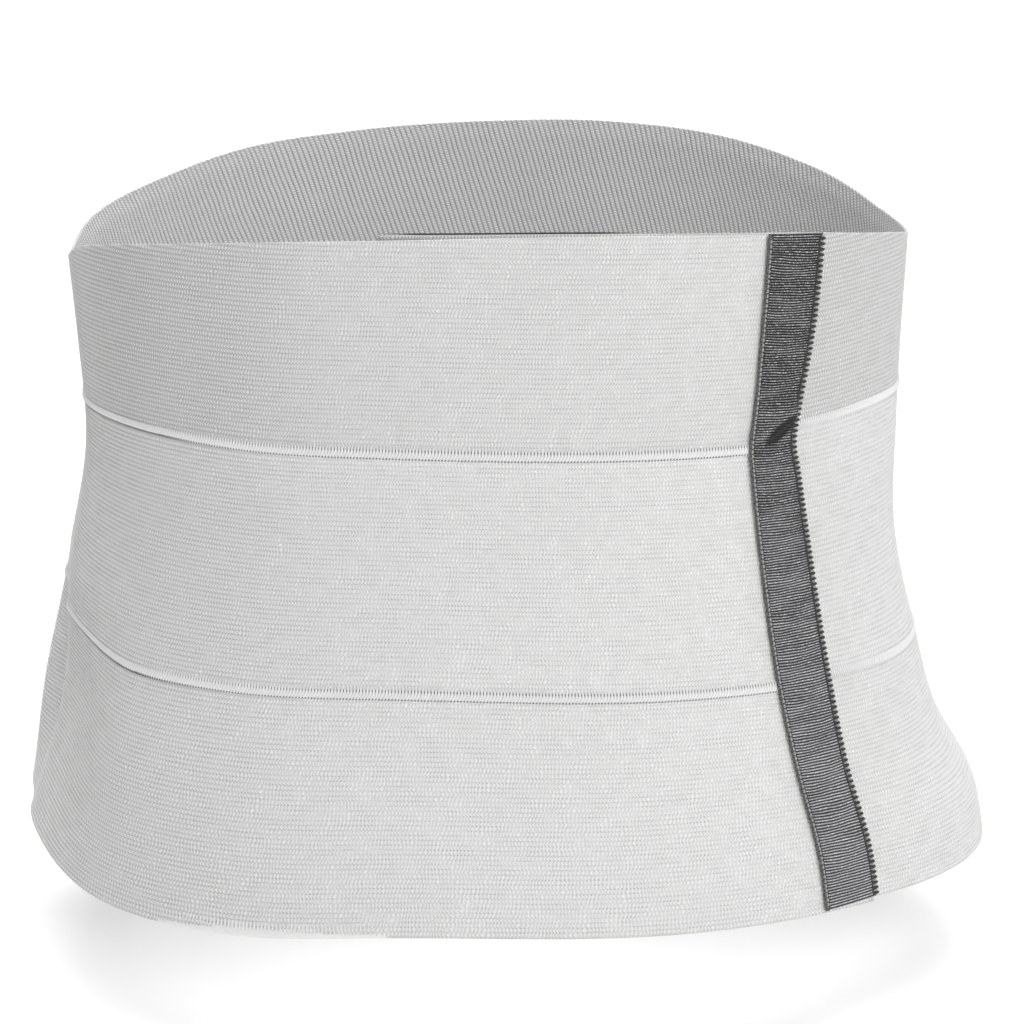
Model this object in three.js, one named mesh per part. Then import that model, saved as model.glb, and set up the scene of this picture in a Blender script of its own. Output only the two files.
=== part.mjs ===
// An abdominal binder in its worn form: one elastic band of three panels, sewn edge to edge, that wraps the
// waist and hips and laps over itself at the front. A folded tape binds the outer end, and a hook strip
// between the two layers holds it.
// Millimetres, +Z up, front towards -Y. The origin is the middle of the body hollow at the waist.

import * as THREE from 'three';

// Widths and depths of the outer surface
const waistWidth = 281;
const waistDepth = 203;
const rimWidth = 288;
const rimDepth = 208;
const hemWidth = 339;
const hemDepth = 240;

// Heights at the front centre, where the waist is z = 0
const upperPanelHeight = 68;
const middlePanelHeight = 75;
const lowerPanelHeight = 75;
const seamAboveWaist = 6;

// How much higher the band rides at the middle of the back than at the front
const backRise = 22;

// Cloth, seams and trims
const wall = 2;
const seamWidth = 2.6;
const seamProud = 0.4;
const tapeWidth = 22.5;
const tapeFoldback = 16;
const tapeThickness = 0.8;
const hookWidth = 50;
const hookThickness = 1.2;
const hookMargin = 6;
const hookToTape = 1.5;
const clearance = 0.3;

// Turns are degrees round the body from the front centre towards the right, and the outer layer is one round on
const fullTurn = 360;
const underEndTurn = -19;
const lapEndTurn = 55;
const underLayerMeetsSurface = 86;

// A seam sinks flush with the cloth over these degrees before the tape covers it
const seamFadeTurn = 4;

// How far the back lobe of the lower left stands out
const foldDepth = 8;

// Meshing
const bandColumns = 96;
const panelRows = 6;
const tapeRows = 24;
const hookRows = 12;
const hookColumns = 10;

const rimLevel = seamAboveWaist + upperPanelHeight;
const lowerSeamLevel = seamAboveWaist - middlePanelHeight;
const hemLevel = lowerSeamLevel - lowerPanelHeight;
const layerGap = 2 * (seamProud + clearance) + hookThickness;
const underLayerInset = wall + layerGap;

// Sections by height. The level is a share of the way from the waist up to the rim, or down to the hem.
// The other columns are shares of the flare from the waist to the rim or hem, and the exponent of the
// rounded quarter at the front left, where the hip is squarer than elsewhere.
const roundness = 2.1;
const sections = [
  { level: -1.12, left: 0.92, right: 1.25, depth: 1.06, frontLeft: 2.4 },
  { level: -1.0, left: 0.87, right: 1.21, depth: 1.0, frontLeft: 2.4 },
  { level: -0.88, left: 0.79, right: 1.08, depth: 0.9, frontLeft: 2.4 },
  { level: -0.71, left: 0.65, right: 0.61, depth: 0.76, frontLeft: 2.4 },
  { level: -0.5, left: 0.42, right: 0.3, depth: 0.53, frontLeft: 2.3 },
  { level: -0.25, left: 0.17, right: 0.02, depth: 0.23, frontLeft: 2.2 },
  { level: 0, left: 0, right: 0, depth: 0, frontLeft: 2.1 },
  { level: 0.42, left: 0.5, right: 0.14, depth: 0.25, frontLeft: 2.1 },
  { level: 0.84, left: 1.2, right: 0.5, depth: 0.8, frontLeft: 2.1 },
  { level: 1.35, left: 1.8, right: 0.7, depth: 1.3, frontLeft: 2.1 },
];

// How much each edge and seam of the band lies above its front level, as a share of the back's rise
const rises = [
  { turn: -19, rim: 0.03, upperSeam: 0.23, lowerSeam: 0.05, hem: -0.02 },
  { turn: 20, rim: 0.04, upperSeam: 0.24, lowerSeam: 0, hem: -0.07 },
  { turn: 56, rim: -0.08, upperSeam: 0.2, lowerSeam: -0.16, hem: -0.12 },
  { turn: 72, rim: -0.21, upperSeam: 0.35, lowerSeam: -0.16, hem: -0.14 },
  { turn: 88, rim: -0.33, upperSeam: 0.43, lowerSeam: -0.06, hem: -0.1 },
  { turn: 100, rim: -0.2, upperSeam: 0.52, lowerSeam: 0.12, hem: 0.06 },
  { turn: 116, rim: 0.32, upperSeam: 0.67, lowerSeam: 0.4, hem: 0.34 },
  { turn: 134, rim: 0.78, upperSeam: 0.84, lowerSeam: 0.68, hem: 0.64 },
  { turn: 155, rim: 0.99, upperSeam: 0.96, lowerSeam: 0.91, hem: 0.87 },
  { turn: 180, rim: 0.99, upperSeam: 1, lowerSeam: 1, hem: 0.95 },
  { turn: 207, rim: 0.85, upperSeam: 0.93, lowerSeam: 0.93, hem: 0.9 },
  { turn: 229, rim: 0.58, upperSeam: 0.75, lowerSeam: 0.77, hem: 0.73 },
  { turn: 245, rim: 0.14, upperSeam: 0.55, lowerSeam: 0.62, hem: 0.58 },
  { turn: 259, rim: -0.25, upperSeam: 0.36, lowerSeam: 0.5, hem: 0.46 },
  { turn: 273, rim: -0.69, upperSeam: 0.24, lowerSeam: 0.41, hem: 0.41 },
  { turn: 288, rim: -0.4, upperSeam: 0.19, lowerSeam: 0.27, hem: 0.34 },
  { turn: 304, rim: -0.23, upperSeam: 0.1, lowerSeam: 0.04, hem: -0.07 },
  { turn: 321, rim: -0.11, upperSeam: 0.02, lowerSeam: -0.02, hem: -0.19 },
  { turn: 345, rim: -0.02, upperSeam: 0.02, lowerSeam: 0.02, hem: -0.08 },
  { turn: 392, rim: 0.01, upperSeam: -0.04, lowerSeam: -0.09, hem: -0.12 },
  { turn: 416, rim: -0.08, upperSeam: -0.06, lowerSeam: -0.15, hem: -0.08 },
];

// Where the lapped end and its tape run: how far past the lap's end turn, and the share of the tape's width.
// The tape is pinched where the upper seam crosses under it.
const lapEnd = [
  { level: -1, past: 1, width: 0.99 },
  { level: -0.75, past: 0.5, width: 0.97 },
  { level: -0.5, past: -0.1, width: 1 },
  { level: -0.25, past: -0.3, width: 0.97 },
  { level: -0.08, past: -1.4, width: 0.9 },
  { level: 0.06, past: -2.7, width: 0.82 },
  { level: 0.25, past: -2, width: 0.84 },
  { level: 0.5, past: -0.6, width: 0.95 },
  { level: 1, past: 0.5, width: 1.03 },
];

// Upright folds of the lower left side: a tall lobe, and in front of it a valley made of two rows. The reach is
// in degrees, the out column is a share of the fold depth, and the levels are shares as in the sections.
const folds = [
  { turn: 260, reach: 15.7, out: 0.96, middle: -0.66, height: 0.8 },
  { turn: 271, reach: 9.3, out: -1.23, middle: -0.64, height: 0.36 },
  { turn: 287, reach: 19.3, out: -1.04, middle: -0.66, height: 0.36 },
];

// A smooth curve through one column of a table, level past both ends of the table
function smooth(table, key, column, at) {
  const last = table.length - 1;
  const x = Math.min(Math.max(at, table[0][key]), table[last][key]);
  let i = 0;
  while (i < last - 1 && x > table[i + 1][key]) i += 1;
  const chord = (k) => (table[k + 1][column] - table[k][column]) / (table[k + 1][key] - table[k][key]);
  const slope = (k) => {
    if (k === 0) return chord(0);
    if (k === last) return chord(last - 1);
    const before = table[k][key] - table[k - 1][key];
    const after = table[k + 1][key] - table[k][key];
    return (chord(k - 1) * after + chord(k) * before) / (before + after);
  };
  const span = table[i + 1][key] - table[i][key];
  const t = (x - table[i][key]) / span;
  const rest = 1 - t;
  return (
    (1 + 2 * t) * rest * rest * table[i][column] +
    t * rest * rest * span * slope(i) +
    t * t * (3 - 2 * t) * table[i + 1][column] -
    t * t * rest * span * slope(i + 1)
  );
}

const mix = THREE.MathUtils.lerp;

// The level of a height: 1 at the rim, 0 at the waist, -1 at the hem
function levelOf(z) {
  return z > 0 ? z / rimLevel : -z / hemLevel;
}

// A soft bump of height 1 and the given reach on each side
function bump(distance, reach) {
  const t = Math.min(Math.abs(distance) / reach, 1);
  return (1 - t * t) * (1 - t * t);
}

function foldOut(turn, level) {
  let out = 0;
  for (const fold of folds) {
    out += fold.out * foldDepth * bump(turn - fold.turn, fold.reach) * bump(level - fold.middle, fold.height);
  }
  return out;
}

// Distance of the outer surface from the axis, for a turn within one round
function outerRadius(turn, z) {
  const level = levelOf(z);
  const endWidth = z > 0 ? rimWidth : hemWidth;
  const endDepth = z > 0 ? rimDepth : hemDepth;
  const sine = Math.sin(THREE.MathUtils.degToRad(turn));
  const cosine = Math.cos(THREE.MathUtils.degToRad(turn));
  const side = sine < 0 ? 'left' : 'right';
  const halfWidth = (waistWidth + (endWidth - waistWidth) * smooth(sections, 'level', side, level)) / 2;
  const halfDepth = (waistDepth + (endDepth - waistDepth) * smooth(sections, 'level', 'depth', level)) / 2;
  const isFrontLeft = sine < 0 && cosine > 0;
  const power = isFrontLeft ? smooth(sections, 'level', 'frontLeft', level) : roundness;
  const sum = Math.abs(sine / halfWidth) ** power + Math.abs(cosine / halfDepth) ** power;
  const round = ((turn % fullTurn) + fullTurn) % fullTurn;
  return sum ** (-1 / power) + foldOut(round, level);
}

function planPoint(turn, z) {
  const angle = THREE.MathUtils.degToRad(turn);
  const radius = outerRadius(turn, z);
  return new THREE.Vector2(radius * Math.sin(angle), -radius * Math.cos(angle));
}

// A point at a turn and height, the given distance inside the outer surface
function bodyPoint(turn, z, inset) {
  const step = 0.5;
  const point = planPoint(turn, z);
  const along = planPoint(turn + step, z).sub(planPoint(turn - step, z)).normalize();
  return new THREE.Vector3(point.x - along.y * inset, point.y + along.x * inset, z);
}

// Millimetres of surface in one degree
function lengthOfDegree(turn, z) {
  return planPoint(turn + 0.5, z).distanceTo(planPoint(turn - 0.5, z));
}

// How deep a layer lies inside the outer surface: the band starts under itself and comes out to the surface
function layerInset(turn) {
  const t = THREE.MathUtils.smoothstep(turn, lapEndTurn, underLayerMeetsSurface);
  return underLayerInset * (1 - t);
}

const edgeLevels = { rim: rimLevel, upperSeam: seamAboveWaist, lowerSeam: lowerSeamLevel, hem: hemLevel };

// Height of an edge or seam of the band
function edgeHeight(edge, turn) {
  return edgeLevels[edge] + backRise * smooth(rises, 'turn', edge, turn);
}

// The turn of the tape's outer edge at a height
function tapeEdgeTurn(z) {
  return fullTurn + lapEndTurn + smooth(lapEnd, 'level', 'past', levelOf(z));
}

// The turn that lies a distance back from the tape's outer edge
function backFromTapeEdge(distance, z) {
  const turn = tapeEdgeTurn(z);
  return turn - distance / lengthOfDegree(turn, z);
}

// The band's own turn at a share of its length. Its outer end stops inside the tape's fold.
function bandTurn(share, z) {
  return mix(underEndTurn, backFromTapeEdge(tapeThickness + clearance, z), share);
}

// A closed slab from a place function: column and row run from 0 to 1, and the face is 'outer' or 'inner'.
// Seen from outside, columns run to the right and rows run up.
function slab(columns, rows, place) {
  const positions = [];
  const across = rows + 1;
  for (const face of ['outer', 'inner']) {
    for (let i = 0; i <= columns; i += 1) {
      for (let j = 0; j <= rows; j += 1) {
        positions.push(...place(i / columns, j / rows, face).toArray());
      }
    }
  }
  const inner = (columns + 1) * across;
  const triangles = [];
  const quad = (a, b, c, d) => triangles.push(a, b, c, a, c, d);
  for (let i = 0; i < columns; i += 1) {
    for (let j = 0; j < rows; j += 1) {
      const a = i * across + j;
      const b = a + across;
      quad(a, b, b + 1, a + 1);
      quad(inner + a, inner + a + 1, inner + b + 1, inner + b);
    }
    const low = i * across;
    const high = low + rows;
    quad(inner + low, inner + low + across, low + across, low);
    quad(high, high + across, inner + high + across, inner + high);
  }
  for (let j = 0; j < rows; j += 1) {
    const last = columns * across + j;
    quad(inner + j, j, j + 1, inner + j + 1);
    quad(last, inner + last, inner + last + 1, last + 1);
  }
  const geometry = new THREE.BufferGeometry();
  geometry.setAttribute('position', new THREE.Float32BufferAttribute(positions, 3));
  geometry.setIndex(triangles);
  geometry.computeVertexNormals();
  return geometry;
}

const group = new THREE.Group();

function addPiece(name, geometry, material) {
  const mesh = new THREE.Mesh(geometry, material);
  mesh.name = name;
  group.add(mesh);
}

const knitMaterial = new THREE.MeshStandardMaterial({ color: 0xe4e4e3, roughness: 0.9, metalness: 0 });
const threadMaterial = new THREE.MeshStandardMaterial({ color: 0xf1f1ef, roughness: 0.75, metalness: 0 });
const tapeMaterial = new THREE.MeshStandardMaterial({ color: 0x5f6062, roughness: 0.8, metalness: 0 });
const hookMaterial = new THREE.MeshStandardMaterial({ color: 0xd2d2d0, roughness: 0.6, metalness: 0 });

// One elastic panel between two edges of the band, held back from the seams by half their width
function panel(lowEdge, highEdge) {
  const seamSpace = seamWidth / 2 + clearance;
  const lowSpace = lowEdge === 'hem' ? 0 : seamSpace;
  const highSpace = highEdge === 'rim' ? 0 : seamSpace;
  return slab(bandColumns, panelRows, (column, row, face) => {
    const turn = mix(underEndTurn, fullTurn + lapEndTurn, column);
    const z = mix(edgeHeight(lowEdge, turn) + lowSpace, edgeHeight(highEdge, turn) - highSpace, row);
    const depth = layerInset(turn) + (face === 'outer' ? 0 : wall);
    return bodyPoint(bandTurn(column, z), z, depth);
  });
}

// A stitched seam between two panels, crowned a little on both faces, and flush where the tape covers it
function seam(edge) {
  return slab(bandColumns, 2, (column, row, face) => {
    const turn = mix(underEndTurn, fullTurn + lapEndTurn, column);
    const z = edgeHeight(edge, turn) + mix(-seamWidth / 2, seamWidth / 2, row);
    const tapeStart = backFromTapeEdge(tapeWidth, z);
    const bare = 1 - THREE.MathUtils.smoothstep(turn, tapeStart - seamFadeTurn, tapeStart);
    const crown = 1 - Math.abs(2 * row - 1);
    const proud = seamProud * bare * crown;
    const depth = layerInset(turn) + (face === 'outer' ? -proud : wall + proud);
    return bodyPoint(bandTurn(column, z), z, depth);
  });
}

// Stops of the folded tape on its way round the lapped end, as shares of each leg back from the fold
const tapeStops = [
  { leg: 'front', share: 1 },
  { leg: 'front', share: 0.7 },
  { leg: 'front', share: 0.4 },
  { leg: 'front', share: 0 },
  { leg: 'back', share: 0 },
  { leg: 'back', share: 0.4 },
  { leg: 'back', share: 0.7 },
  { leg: 'back', share: 1 },
];

// The folded tape that binds the lapped end over its full height
function tape() {
  const middleTurn = backFromTapeEdge(tapeWidth / 2, 0);
  const low = edgeHeight('hem', middleTurn);
  const high = edgeHeight('rim', middleTurn);
  return slab(tapeStops.length - 1, tapeRows, (column, row, face) => {
    const stop = tapeStops[Math.round(column * (tapeStops.length - 1))];
    const z = mix(low, high, row);
    const frontReach = tapeWidth * smooth(lapEnd, 'level', 'width', levelOf(z));
    const reach = stop.leg === 'front' ? frontReach : tapeFoldback;
    const start = face === 'outer' ? 0 : tapeThickness;
    const standOff = clearance + (face === 'outer' ? tapeThickness : 0);
    const depth = stop.leg === 'front' ? -standOff : wall + standOff;
    return bodyPoint(backFromTapeEdge(mix(start, reach, stop.share), z), z, depth);
  });
}

// The hook strip sewn inside the lapped end, beside the tape
function hookStrip() {
  const nearSide = tapeWidth + hookToTape;
  const startDepth = wall + seamProud + clearance;
  const middleTurn = backFromTapeEdge(nearSide + hookWidth / 2, 0);
  const low = edgeHeight('hem', middleTurn) + hookMargin;
  const high = edgeHeight('rim', middleTurn) - hookMargin;
  return slab(hookColumns, hookRows, (column, row, face) => {
    const z = mix(low, high, row);
    const turn = backFromTapeEdge(nearSide + hookWidth * (1 - column), z);
    return bodyPoint(turn, z, face === 'outer' ? startDepth : startDepth + hookThickness);
  });
}

addPiece('panel_upper', panel('upperSeam', 'rim'), knitMaterial);
addPiece('panel_middle', panel('lowerSeam', 'upperSeam'), knitMaterial);
addPiece('panel_lower', panel('hem', 'lowerSeam'), knitMaterial);
addPiece('seam_upper', seam('upperSeam'), threadMaterial);
addPiece('seam_lower', seam('lowerSeam'), threadMaterial);
addPiece('edge_tape', tape(), tapeMaterial);
addPiece('hook_strip', hookStrip(), hookMaterial);

export default group;
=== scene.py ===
"""The looks of a white elastic abdominal binder in its worn form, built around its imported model.

One knitted band of three panels starts under the front, goes round the body and laps over itself. Two
stitched seams join the panels, and a folded grosgrain tape binds the lapped end. Metres, +Z up, front
towards -Y.
"""

import logging
from dataclasses import dataclass, field, replace
from enum import Enum
from typing import NamedTuple, Sequence

import bpy
import numpy as np
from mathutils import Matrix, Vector


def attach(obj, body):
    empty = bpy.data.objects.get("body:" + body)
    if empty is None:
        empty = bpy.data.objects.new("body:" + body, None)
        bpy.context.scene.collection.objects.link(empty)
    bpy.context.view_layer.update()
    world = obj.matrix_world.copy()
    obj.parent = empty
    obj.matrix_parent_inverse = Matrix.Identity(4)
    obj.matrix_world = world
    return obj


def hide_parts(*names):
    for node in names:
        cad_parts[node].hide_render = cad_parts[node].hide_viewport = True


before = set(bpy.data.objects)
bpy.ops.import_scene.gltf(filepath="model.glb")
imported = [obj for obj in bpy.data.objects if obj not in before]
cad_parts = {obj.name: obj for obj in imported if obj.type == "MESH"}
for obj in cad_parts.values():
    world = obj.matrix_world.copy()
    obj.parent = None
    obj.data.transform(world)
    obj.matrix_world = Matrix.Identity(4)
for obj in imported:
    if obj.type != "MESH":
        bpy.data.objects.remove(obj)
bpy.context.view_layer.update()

log = logging.getLogger("abdominal_binder")

MM = 0.001
FULL_TURN = 360.0
BODY = "root"
UV_NAME = "UVMap"
MOST_NOISE = (0.3, 0.7)
MIDDLE_NOISE = (0.35, 0.65)
Array = np.ndarray
Colour = tuple[float, float, float]
Span = tuple[float, float]
Material = bpy.types.Material
Piece = bpy.types.Object


class Section(NamedTuple):
    """Shares of the flare from the waist to the rim or hem at a level, and the front left's squareness."""

    level: float
    left: float
    right: float
    depth: float
    front_left: float


class Rise(NamedTuple):
    """How much each line of the band lies above its front level at a turn, as shares of the back's rise."""

    turn: float
    rim: float
    upper_seam: float
    lower_seam: float
    hem: float


class LapEnd(NamedTuple):
    """How far past its usual turn the lapped end runs at a level, and the share of the tape's width there."""

    level: float
    past: float
    width: float


class Fold(NamedTuple):
    """One upright fold: its turn and reach in degrees, its share of the fold depth, and its levels."""

    turn: float
    reach: float
    out: float
    middle: float
    height: float


class Stitching(NamedTuple):
    """How much of a seam's single stitches, of the groove above them and of the one below shows at a turn."""

    turn: float
    shows: float
    groove: float
    ditch: float


class Relief(NamedTuple):
    """How deep the outer face's ribs are at a turn, in millimetres, and how much of the hem's bead shows."""

    turn: float
    depth: float
    bead: float


SECTIONS = (
    Section(-1.12, 0.92, 1.25, 1.06, 2.4),
    Section(-1.0, 0.87, 1.21, 1.0, 2.4),
    Section(-0.88, 0.79, 1.08, 0.9, 2.4),
    Section(-0.71, 0.65, 0.61, 0.76, 2.4),
    Section(-0.5, 0.42, 0.3, 0.53, 2.3),
    Section(-0.25, 0.17, 0.02, 0.23, 2.2),
    Section(0.0, 0.0, 0.0, 0.0, 2.1),
    Section(0.42, 0.5, 0.14, 0.25, 2.1),
    Section(0.84, 1.2, 0.5, 0.8, 2.1),
    Section(1.35, 1.8, 0.7, 1.3, 2.1),
)

RISES = (
    Rise(-19, 0.03, 0.23, 0.05, -0.02),
    Rise(20, 0.04, 0.24, 0.0, -0.07),
    Rise(56, -0.08, 0.2, -0.16, -0.12),
    Rise(72, -0.21, 0.35, -0.16, -0.14),
    Rise(88, -0.33, 0.43, -0.06, -0.1),
    Rise(100, -0.2, 0.52, 0.12, 0.06),
    Rise(116, 0.32, 0.67, 0.4, 0.34),
    Rise(134, 0.78, 0.84, 0.68, 0.64),
    Rise(155, 0.99, 0.96, 0.91, 0.87),
    Rise(180, 0.99, 1.0, 1.0, 0.95),
    Rise(207, 0.85, 0.93, 0.93, 0.9),
    Rise(229, 0.58, 0.75, 0.77, 0.73),
    Rise(245, 0.14, 0.55, 0.62, 0.58),
    Rise(259, -0.25, 0.36, 0.5, 0.46),
    Rise(273, -0.69, 0.24, 0.41, 0.41),
    Rise(288, -0.4, 0.19, 0.27, 0.34),
    Rise(304, -0.23, 0.1, 0.04, -0.07),
    Rise(321, -0.11, 0.02, -0.02, -0.19),
    Rise(345, -0.02, 0.02, 0.02, -0.08),
    Rise(392, 0.01, -0.04, -0.09, -0.12),
    Rise(416, -0.08, -0.06, -0.15, -0.08),
)

LAP_END = (
    LapEnd(-1.0, 1.0, 0.99),
    LapEnd(-0.75, 0.5, 0.97),
    LapEnd(-0.5, -0.1, 1.0),
    LapEnd(-0.25, -0.3, 0.97),
    LapEnd(-0.08, -1.4, 0.9),
    LapEnd(0.06, -2.7, 0.82),
    LapEnd(0.25, -2.0, 0.84),
    LapEnd(0.5, -0.6, 0.95),
    LapEnd(1.0, 0.5, 1.03),
)

FOLDS = (
    Fold(260, 15.7, 0.96, -0.66, 0.8),
    Fold(271, 9.3, -1.23, -0.64, 0.36),
    Fold(287, 19.3, -1.04, -0.66, 0.36),
)

STITCHING = (
    Stitching(-19, 0.5, 0.3, 0.0),
    Stitching(60, 0.8, 0.3, 0.0),
    Stitching(95, 0.4, 0.3, 0.0),
    Stitching(110, 0.7, 0.4, 0.1),
    Stitching(200, 0.9, 0.9, 0.3),
    Stitching(262, 0.4, 0.3, 0.25),
    Stitching(284, 0.2, 0.15, 0.25),
    Stitching(298, 0.2, 0.15, 0.35),
    Stitching(314, 0.8, 0.7, 0.2),
    Stitching(330, 1.0, 1.0, 0.0),
    Stitching(415, 1.0, 1.0, 0.0),
)

RELIEF = (
    Relief(-19, 0.12, 0.0),
    Relief(60, 0.13, 0.0),
    Relief(95, 0.28, 0.0),
    Relief(200, 0.36, 0.0),
    Relief(288, 0.36, 0.0),
    Relief(304, 0.24, 0.0),
    Relief(314, 0.17, 0.2),
    Relief(323, 0.14, 1.0),
    Relief(334, 0.12, 0.6),
    Relief(345, 0.1, 0.0),
    Relief(415, 0.1, 0.0),
)


class Edge(Enum):
    """The four lines that bound the three panels, each with its column of the rises."""

    RIM = "rim"
    UPPER_SEAM = "upper_seam"
    LOWER_SEAM = "lower_seam"
    HEM = "hem"


class Slot(Enum):
    """The record's material slots."""

    KNIT = "elastic_knit"
    THREAD = "seam_thread"
    TAPE = "grosgrain_tape"
    HOOK = "hook_tape"


def column(table: Sequence[tuple], name: str) -> Array:
    """One named column of a table."""
    return np.array([getattr(row, name) for row in table], float)


def smooth(table: Sequence[tuple], key: str, value: str, at: Array) -> Array:
    """A smooth curve through one column of a table, level past both ends of the table.

    Args:
        table: Rows with named columns, in rising order of the key.
        key: The column that the curve runs along.
        value: The column that the curve goes through.
        at: Places on the key column.

    Returns:
        The curve's values at those places.
    """
    xs = column(table, key)
    ys = column(table, value)
    spans = np.diff(xs)
    chords = np.diff(ys) / spans
    slopes = np.empty_like(ys)
    slopes[0] = chords[0]
    slopes[-1] = chords[-1]
    slopes[1:-1] = (chords[:-1] * spans[1:] + chords[1:] * spans[:-1]) / (spans[:-1] + spans[1:])
    x = np.clip(at, xs[0], xs[-1])
    i = np.clip(np.searchsorted(xs, x, side="left") - 1, 0, len(xs) - 2)
    t = (x - xs[i]) / spans[i]
    rest = 1 - t
    from_left = (1 + 2 * t) * rest * rest * ys[i] + t * rest * rest * spans[i] * slopes[i]
    from_right = t * t * (3 - 2 * t) * ys[i + 1] - t * t * rest * spans[i] * slopes[i + 1]
    return from_left + from_right


def smoothstep(at: Array, low: float, high: float) -> Array:
    """A soft step from 0 at low to 1 at high."""
    t = np.clip((at - low) / (high - low), 0, 1)
    return t * t * (3 - 2 * t)


def bump(distance: Array, reach: Array) -> Array:
    """A soft bump of height 1 and the given reach on each side."""
    t = np.clip(np.abs(distance) / reach, 0, 1)
    return (1 - t * t) ** 2


def mix(low: Array, high: Array, share: Array) -> Array:
    """The value at a share of the way from low to high."""
    return low + (high - low) * share


def unit(vectors: Array) -> Array:
    """Vectors scaled to length 1 along their last axis."""
    return vectors / np.linalg.norm(vectors, axis=-1, keepdims=True)


def level_outward(inward: Array) -> Array:
    """The level vectors in space that point the other way from inward vectors in plan."""
    return np.concatenate([-inward, np.zeros((len(inward), 1))], axis=-1)


@dataclass
class BodyForm:
    """The shape of the worn band: the same sizes and formulas as the solids have."""

    waist_width: float = 281 * MM
    waist_depth: float = 203 * MM
    rim_width: float = 288 * MM
    rim_depth: float = 208 * MM
    hem_width: float = 339 * MM
    hem_depth: float = 240 * MM
    upper_panel_height: float = 68 * MM
    middle_panel_height: float = 75 * MM
    lower_panel_height: float = 75 * MM
    seam_above_waist: float = 6 * MM
    back_rise: float = 22 * MM
    wall: float = 2 * MM
    seam_width: float = 2.6 * MM
    seam_proud: float = 0.4 * MM
    tape_width: float = 22.5 * MM
    tape_foldback: float = 16 * MM
    tape_thickness: float = 0.8 * MM
    hook_thickness: float = 1.2 * MM
    clearance: float = 0.3 * MM
    under_end_turn: float = -19
    lap_end_turn: float = 55
    under_layer_meets_surface: float = 86
    fold_depth: float = 8 * MM
    roundness: float = 2.1
    degree: float = 0.5

    @property
    def rim_level(self) -> float:
        """Height of the rim at the front."""
        return self.seam_above_waist + self.upper_panel_height

    @property
    def lower_seam_level(self) -> float:
        """Height of the lower seam at the front."""
        return self.seam_above_waist - self.middle_panel_height

    @property
    def hem_level(self) -> float:
        """Height of the hem at the front."""
        return self.lower_seam_level - self.lower_panel_height

    @property
    def last_turn(self) -> float:
        """The nominal turn at which the lapped end stops."""
        return FULL_TURN + self.lap_end_turn

    @property
    def under_layer_inset(self) -> float:
        """How deep the under layer lies below the outer surface."""
        return self.wall + 2 * (self.seam_proud + self.clearance) + self.hook_thickness

    def level_of(self, z: Array) -> Array:
        """The level of a height: 1 at the rim, 0 at the waist, -1 at the hem."""
        return np.where(z > 0, z / self.rim_level, -z / self.hem_level)

    def fold_out(self, turn: Array, level: Array) -> Array:
        """How far the upright folds push the surface out."""
        out = np.zeros(np.broadcast(turn, level).shape)
        for fold in FOLDS:
            around = bump(turn - fold.turn, fold.reach)
            upright = bump(level - fold.middle, fold.height)
            out = out + fold.out * self.fold_depth * around * upright
        return out

    def outer_radius(self, turn: Array, z: Array) -> Array:
        """Distance of the outer surface from the upright axis."""
        level = self.level_of(z)
        end_width = np.where(z > 0, self.rim_width, self.hem_width)
        end_depth = np.where(z > 0, self.rim_depth, self.hem_depth)
        sine = np.sin(np.radians(turn))
        cosine = np.cos(np.radians(turn))
        left = smooth(SECTIONS, "level", "left", level)
        right = smooth(SECTIONS, "level", "right", level)
        depth = smooth(SECTIONS, "level", "depth", level)
        front_left = smooth(SECTIONS, "level", "front_left", level)
        half_width = mix(self.waist_width, end_width, np.where(sine < 0, left, right)) / 2
        half_depth = mix(self.waist_depth, end_depth, depth) / 2
        power = np.where((sine < 0) & (cosine > 0), front_left, self.roundness)
        total = np.abs(sine / half_width) ** power + np.abs(cosine / half_depth) ** power
        return total ** (-1 / power) + self.fold_out(turn % FULL_TURN, level)

    def plan_point(self, turn: Array, z: Array) -> Array:
        """The outer surface's point in plan at a turn and height."""
        radius = self.outer_radius(turn, z)
        return np.stack([radius * np.sin(np.radians(turn)), -radius * np.cos(np.radians(turn))], axis=-1)

    def inward(self, turn: Array, z: Array) -> Array:
        """The unit vector in plan that points from the outer surface into the body."""
        along = unit(self.plan_point(turn + self.degree, z) - self.plan_point(turn - self.degree, z))
        return np.stack([-along[..., 1], along[..., 0]], axis=-1)

    def body_point(self, turn: Array, z: Array, inset: Array) -> Array:
        """A point at a turn and height, the given distance inside the outer surface."""
        turn, z, inset = np.broadcast_arrays(turn, z, inset)
        plan = self.plan_point(turn, z) + self.inward(turn, z) * inset[..., None]
        return np.concatenate([plan, z[..., None]], axis=-1)

    def degree_length(self, turn: Array, z: Array) -> Array:
        """Metres of surface in one degree."""
        ends = self.plan_point(turn + self.degree, z) - self.plan_point(turn - self.degree, z)
        return np.linalg.norm(ends, axis=-1)

    def layer_inset(self, turn: Array) -> Array:
        """How deep a layer of the band lies: it starts under itself and comes out to the surface."""
        come_out = smoothstep(turn, self.lap_end_turn, self.under_layer_meets_surface)
        return self.under_layer_inset * (1 - come_out)

    def edge_height(self, edge: Edge, turn: Array) -> Array:
        """Height of an edge or seam of the band."""
        front = {
            Edge.RIM: self.rim_level,
            Edge.UPPER_SEAM: self.seam_above_waist,
            Edge.LOWER_SEAM: self.lower_seam_level,
            Edge.HEM: self.hem_level,
        }
        return front[edge] + self.back_rise * smooth(RISES, "turn", edge.value, turn)

    def back_from_tape_edge(self, distance: Array, z: Array) -> Array:
        """The turn that lies a distance back from the tape's outer edge."""
        turn = self.last_turn + smooth(LAP_END, "level", "past", self.level_of(z))
        return turn - distance / self.degree_length(turn, z)

    def tape_reach(self, z: Array) -> Array:
        """The width of the tape's front leg at a height."""
        return self.tape_width * smooth(LAP_END, "level", "width", self.level_of(z))

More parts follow.
